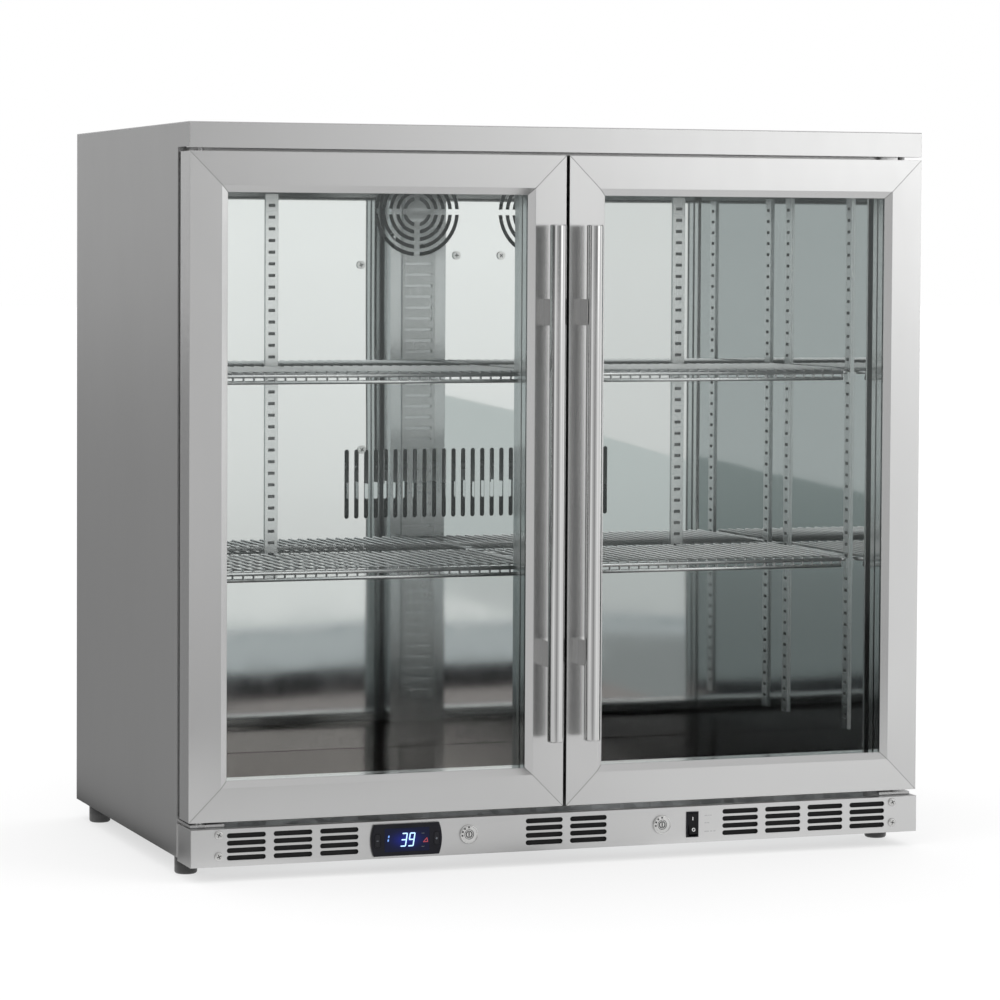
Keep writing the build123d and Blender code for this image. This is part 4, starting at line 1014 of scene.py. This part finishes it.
def make_cards():
    """What the bright interior mirrors through the doors, and what the steel mirrors of the floor."""
    wall("wall_bright", -0.72, 1.44, 0.0, 3.0, (0.97, 0.965, 0.955), 0.98, fade=(0.1, 0.7, 0.80))
    wall("wall_pale", 1.44, 5.0, 0.0, 3.0, (0.97, 0.965, 0.955), 0.80, fade=(0.1, 0.7, 0.86))
    wall("wall_grey", -5.0, -0.72, 0.0, 3.0, (0.43, 0.46, 0.46), 1.0)
    low = [(-5.0, 0.0), (-0.72, 0.0), (-0.72, 0.30), (-1.41, 0.143)]
    card("wall_grey_low", [(x, NEARER, z) for x, z in low], (0.20, 0.235, 0.232), 1.0)
    slope = [(0.99, 0.0), (2.6, 0.0), (1.76, 0.225), (1.34, 0.351), (0.99, 0.437)]
    card("wall_slope", [(x, NEARER, z) for x, z in slope], (0.52, 0.55, 0.545), 1.0)
    ground("ground_far", -5.0, 0.98, FAR, -2.28, 0.003, (0.84, 0.845, 0.835))
    ground("ground_pale", 0.98, 5.0, FAR, -2.28, 0.003, (0.56, 0.575, 0.57))
    ground("ground_line", -5.0, 5.0, -2.28, -2.12, 0.003, (0.30, 0.335, 0.35))
    ground("ground_middle", -5.0, 5.0, -2.12, -1.60, 0.003, (0.46, 0.49, 0.50))
    ground("ground_dark", -5.0, 5.0, -1.60, -1.25, 0.003, (0.008, 0.007, 0.008))
    ground("ground_brown", -5.0, 5.0, -1.25, -0.25, 0.003, (0.29, 0.262, 0.255))
    lens_shape = [(-0.3, -0.93), (0.24, -0.86), (0.0, -0.78), (-0.3, -0.80)]
    card("ground_lens", [(x, y, 0.006) for x, y in lens_shape], (0.05, 0.045, 0.045), 1.0)
    ground("ground_right", 0.86, 5.0, -1.95, -1.60, 0.004, (0.26, 0.275, 0.275))
    ground("ground_right_near", 0.70, 5.0, -1.60, -0.25, 0.004, (0.26, 0.275, 0.275))
    ground("ground_left", -5.0, -0.03, FAR, -1.25, 0.005, (0.19, 0.215, 0.215))
    ground("ground_left_near", -5.0, 0.01, -1.25, -0.25, 0.005, (0.012, 0.012, 0.014))
    ground("flag_near_left", -4.0, 0.2, -1.2, -0.30, 0.011, (0.70, 0.70, 0.70), False)
    ground("flag_near_right", 0.2, 5.0, -1.2, -0.30, 0.011, (0.80, 0.80, 0.80), False)
    ground("flag_side", -30.0, -0.50, -0.30, 30.0, 0.011, (0.28, 0.28, 0.28), False)
    make_flag()


def make_flag():
    """What the steel outside mirrors of the floor: graded by compass bearing, like the studio above it."""
    reach = 30.0
    flag = ground("flag", -reach, reach, -reach, reach, 0.010, (1.0, 1.0, 1.0), False)
    tree = flag.data.materials[0].node_tree
    place = tree.nodes.new("ShaderNodeTexCoord").outputs["Object"]
    axes = tree.nodes.new("ShaderNodeSeparateXYZ")
    tree.links.new(place, axes.inputs[0])
    around = compass(tree, axes.outputs[0], axes.outputs[1], FLOOR)
    shader = next(n for n in tree.nodes if n.type == "BSDF_PRINCIPLED")
    tree.links.new(around, shader.inputs["Emission Color"])
    shader.inputs["Emission Strength"].default_value = STUDIO_TOP


def make_floor():
    """A pale floor that glows a little, so that shadows on it stay faint."""
    mesh = bpy.data.meshes.new("floor")
    half = 40.0
    corners = [(-half, -half, 0), (half, -half, 0), (half, half, 0), (-half, half, 0)]
    mesh.from_pydata(corners, [], [(0, 1, 2, 3)])
    floor = bpy.data.objects.new("floor", mesh)
    mesh.materials.append(plain("studio_floor", (0.30, 0.30, 0.30), 1.0, glow=0.62))
    scene.collection.objects.link(floor)


def make_world():
    """White to the camera, even white for soft shadows, and a studio to mirror for the metal."""
    world = bpy.data.worlds.new("studio")
    scene.world = world
    world.use_nodes = True
    tree = world.node_tree
    tree.nodes.clear()
    new, join = tree.nodes.new, tree.links.new
    output = new("ShaderNodeOutputWorld")
    way = new("ShaderNodeTexCoord").outputs["Generated"]
    axes = new("ShaderNodeSeparateXYZ")
    join(way, axes.inputs[0])

    def math_node(operation, a, b=0.0):
        node = new("ShaderNodeMath")
        node.operation = operation
        for index, value in enumerate((a, b)):
            if isinstance(value, bpy.types.NodeSocket):
                join(value, node.inputs[index])
            else:
                node.inputs[index].default_value = value
        return node.outputs[0]

    def ramp(value, start, end, low, high):
        node = new("ShaderNodeMapRange")
        node.interpolation_type = "SMOOTHSTEP"
        join(value, node.inputs["Value"])
        for name, number in (("From Min", start), ("From Max", end), ("To Min", low), ("To Max", high)):
            node.inputs[name].default_value = number
        return node.outputs["Result"]

    x, y, z = axes.outputs
    mirror = math_node("MULTIPLY", compass(tree, x, y, STUDIO), STUDIO_TOP)
    mirror = math_node("MULTIPLY", mirror, ramp(z, -0.06, 0.06, 0.84, 1.10))
    level = ramp(z, 0.12, 0.42, 1.0, 0.0)
    mirror = math_node("ADD", math_node("MULTIPLY", mirror, level), ramp(z, 0.12, 0.42, 0.0, 0.66))
    mirror = math_node("ADD", mirror, ramp(z, 0.45, 0.9, 0.0, 0.3))
    glossy = new("ShaderNodeBackground")
    join(mirror, glossy.inputs["Strength"])
    even = new("ShaderNodeBackground")
    even.inputs["Color"].default_value = (1.0, 1.0, 1.0, 1)
    even.inputs["Strength"].default_value = 1.5
    white = new("ShaderNodeBackground")
    white.inputs["Color"].default_value = (1, 1, 1, 1)
    white.inputs["Strength"].default_value = 1.0
    path = new("ShaderNodeLightPath")
    first, second = new("ShaderNodeMixShader"), new("ShaderNodeMixShader")
    join(path.outputs["Is Diffuse Ray"], first.inputs[0])
    join(glossy.outputs[0], first.inputs[1])
    join(even.outputs[0], first.inputs[2])
    join(path.outputs["Is Camera Ray"], second.inputs[0])
    join(first.outputs[0], second.inputs[1])
    join(white.outputs[0], second.inputs[2])
    join(second.outputs[0], output.inputs["Surface"])


def area(name, place, aim, size, power):
    """A soft lamp that no mirror shows."""
    data = bpy.data.lights.new(name, "AREA")
    data.shape = "RECTANGLE"
    data.size, data.size_y = size
    data.energy = power
    lamp = bpy.data.objects.new(name, data)
    scene.collection.objects.link(lamp)
    lamp.location = place
    lamp.rotation_mode = "QUATERNION"
    lamp.rotation_quaternion = (Vector(aim) - Vector(place)).to_track_quat("-Z", "Y")
    lamp.visible_glossy = False


def make_lights():
    area("key", (2.6, -3.4, 2.6), (0, 0, 0.4), (1.6, 1.6), 20)
    area("fill", (-3.2, -1.6, 2.4), (0, 0, 0.4), (1.4, 1.4), 6)


make_camera()
finishes = make_materials()
make_shelves(finishes)
make_display()
make_key_marks()
make_switch_marks()
make_labels()
make_lock_details(finishes)
make_screw_recesses()
make_filters()
make_strip_slots()
make_floor()
make_cards()
make_world()
make_lights()
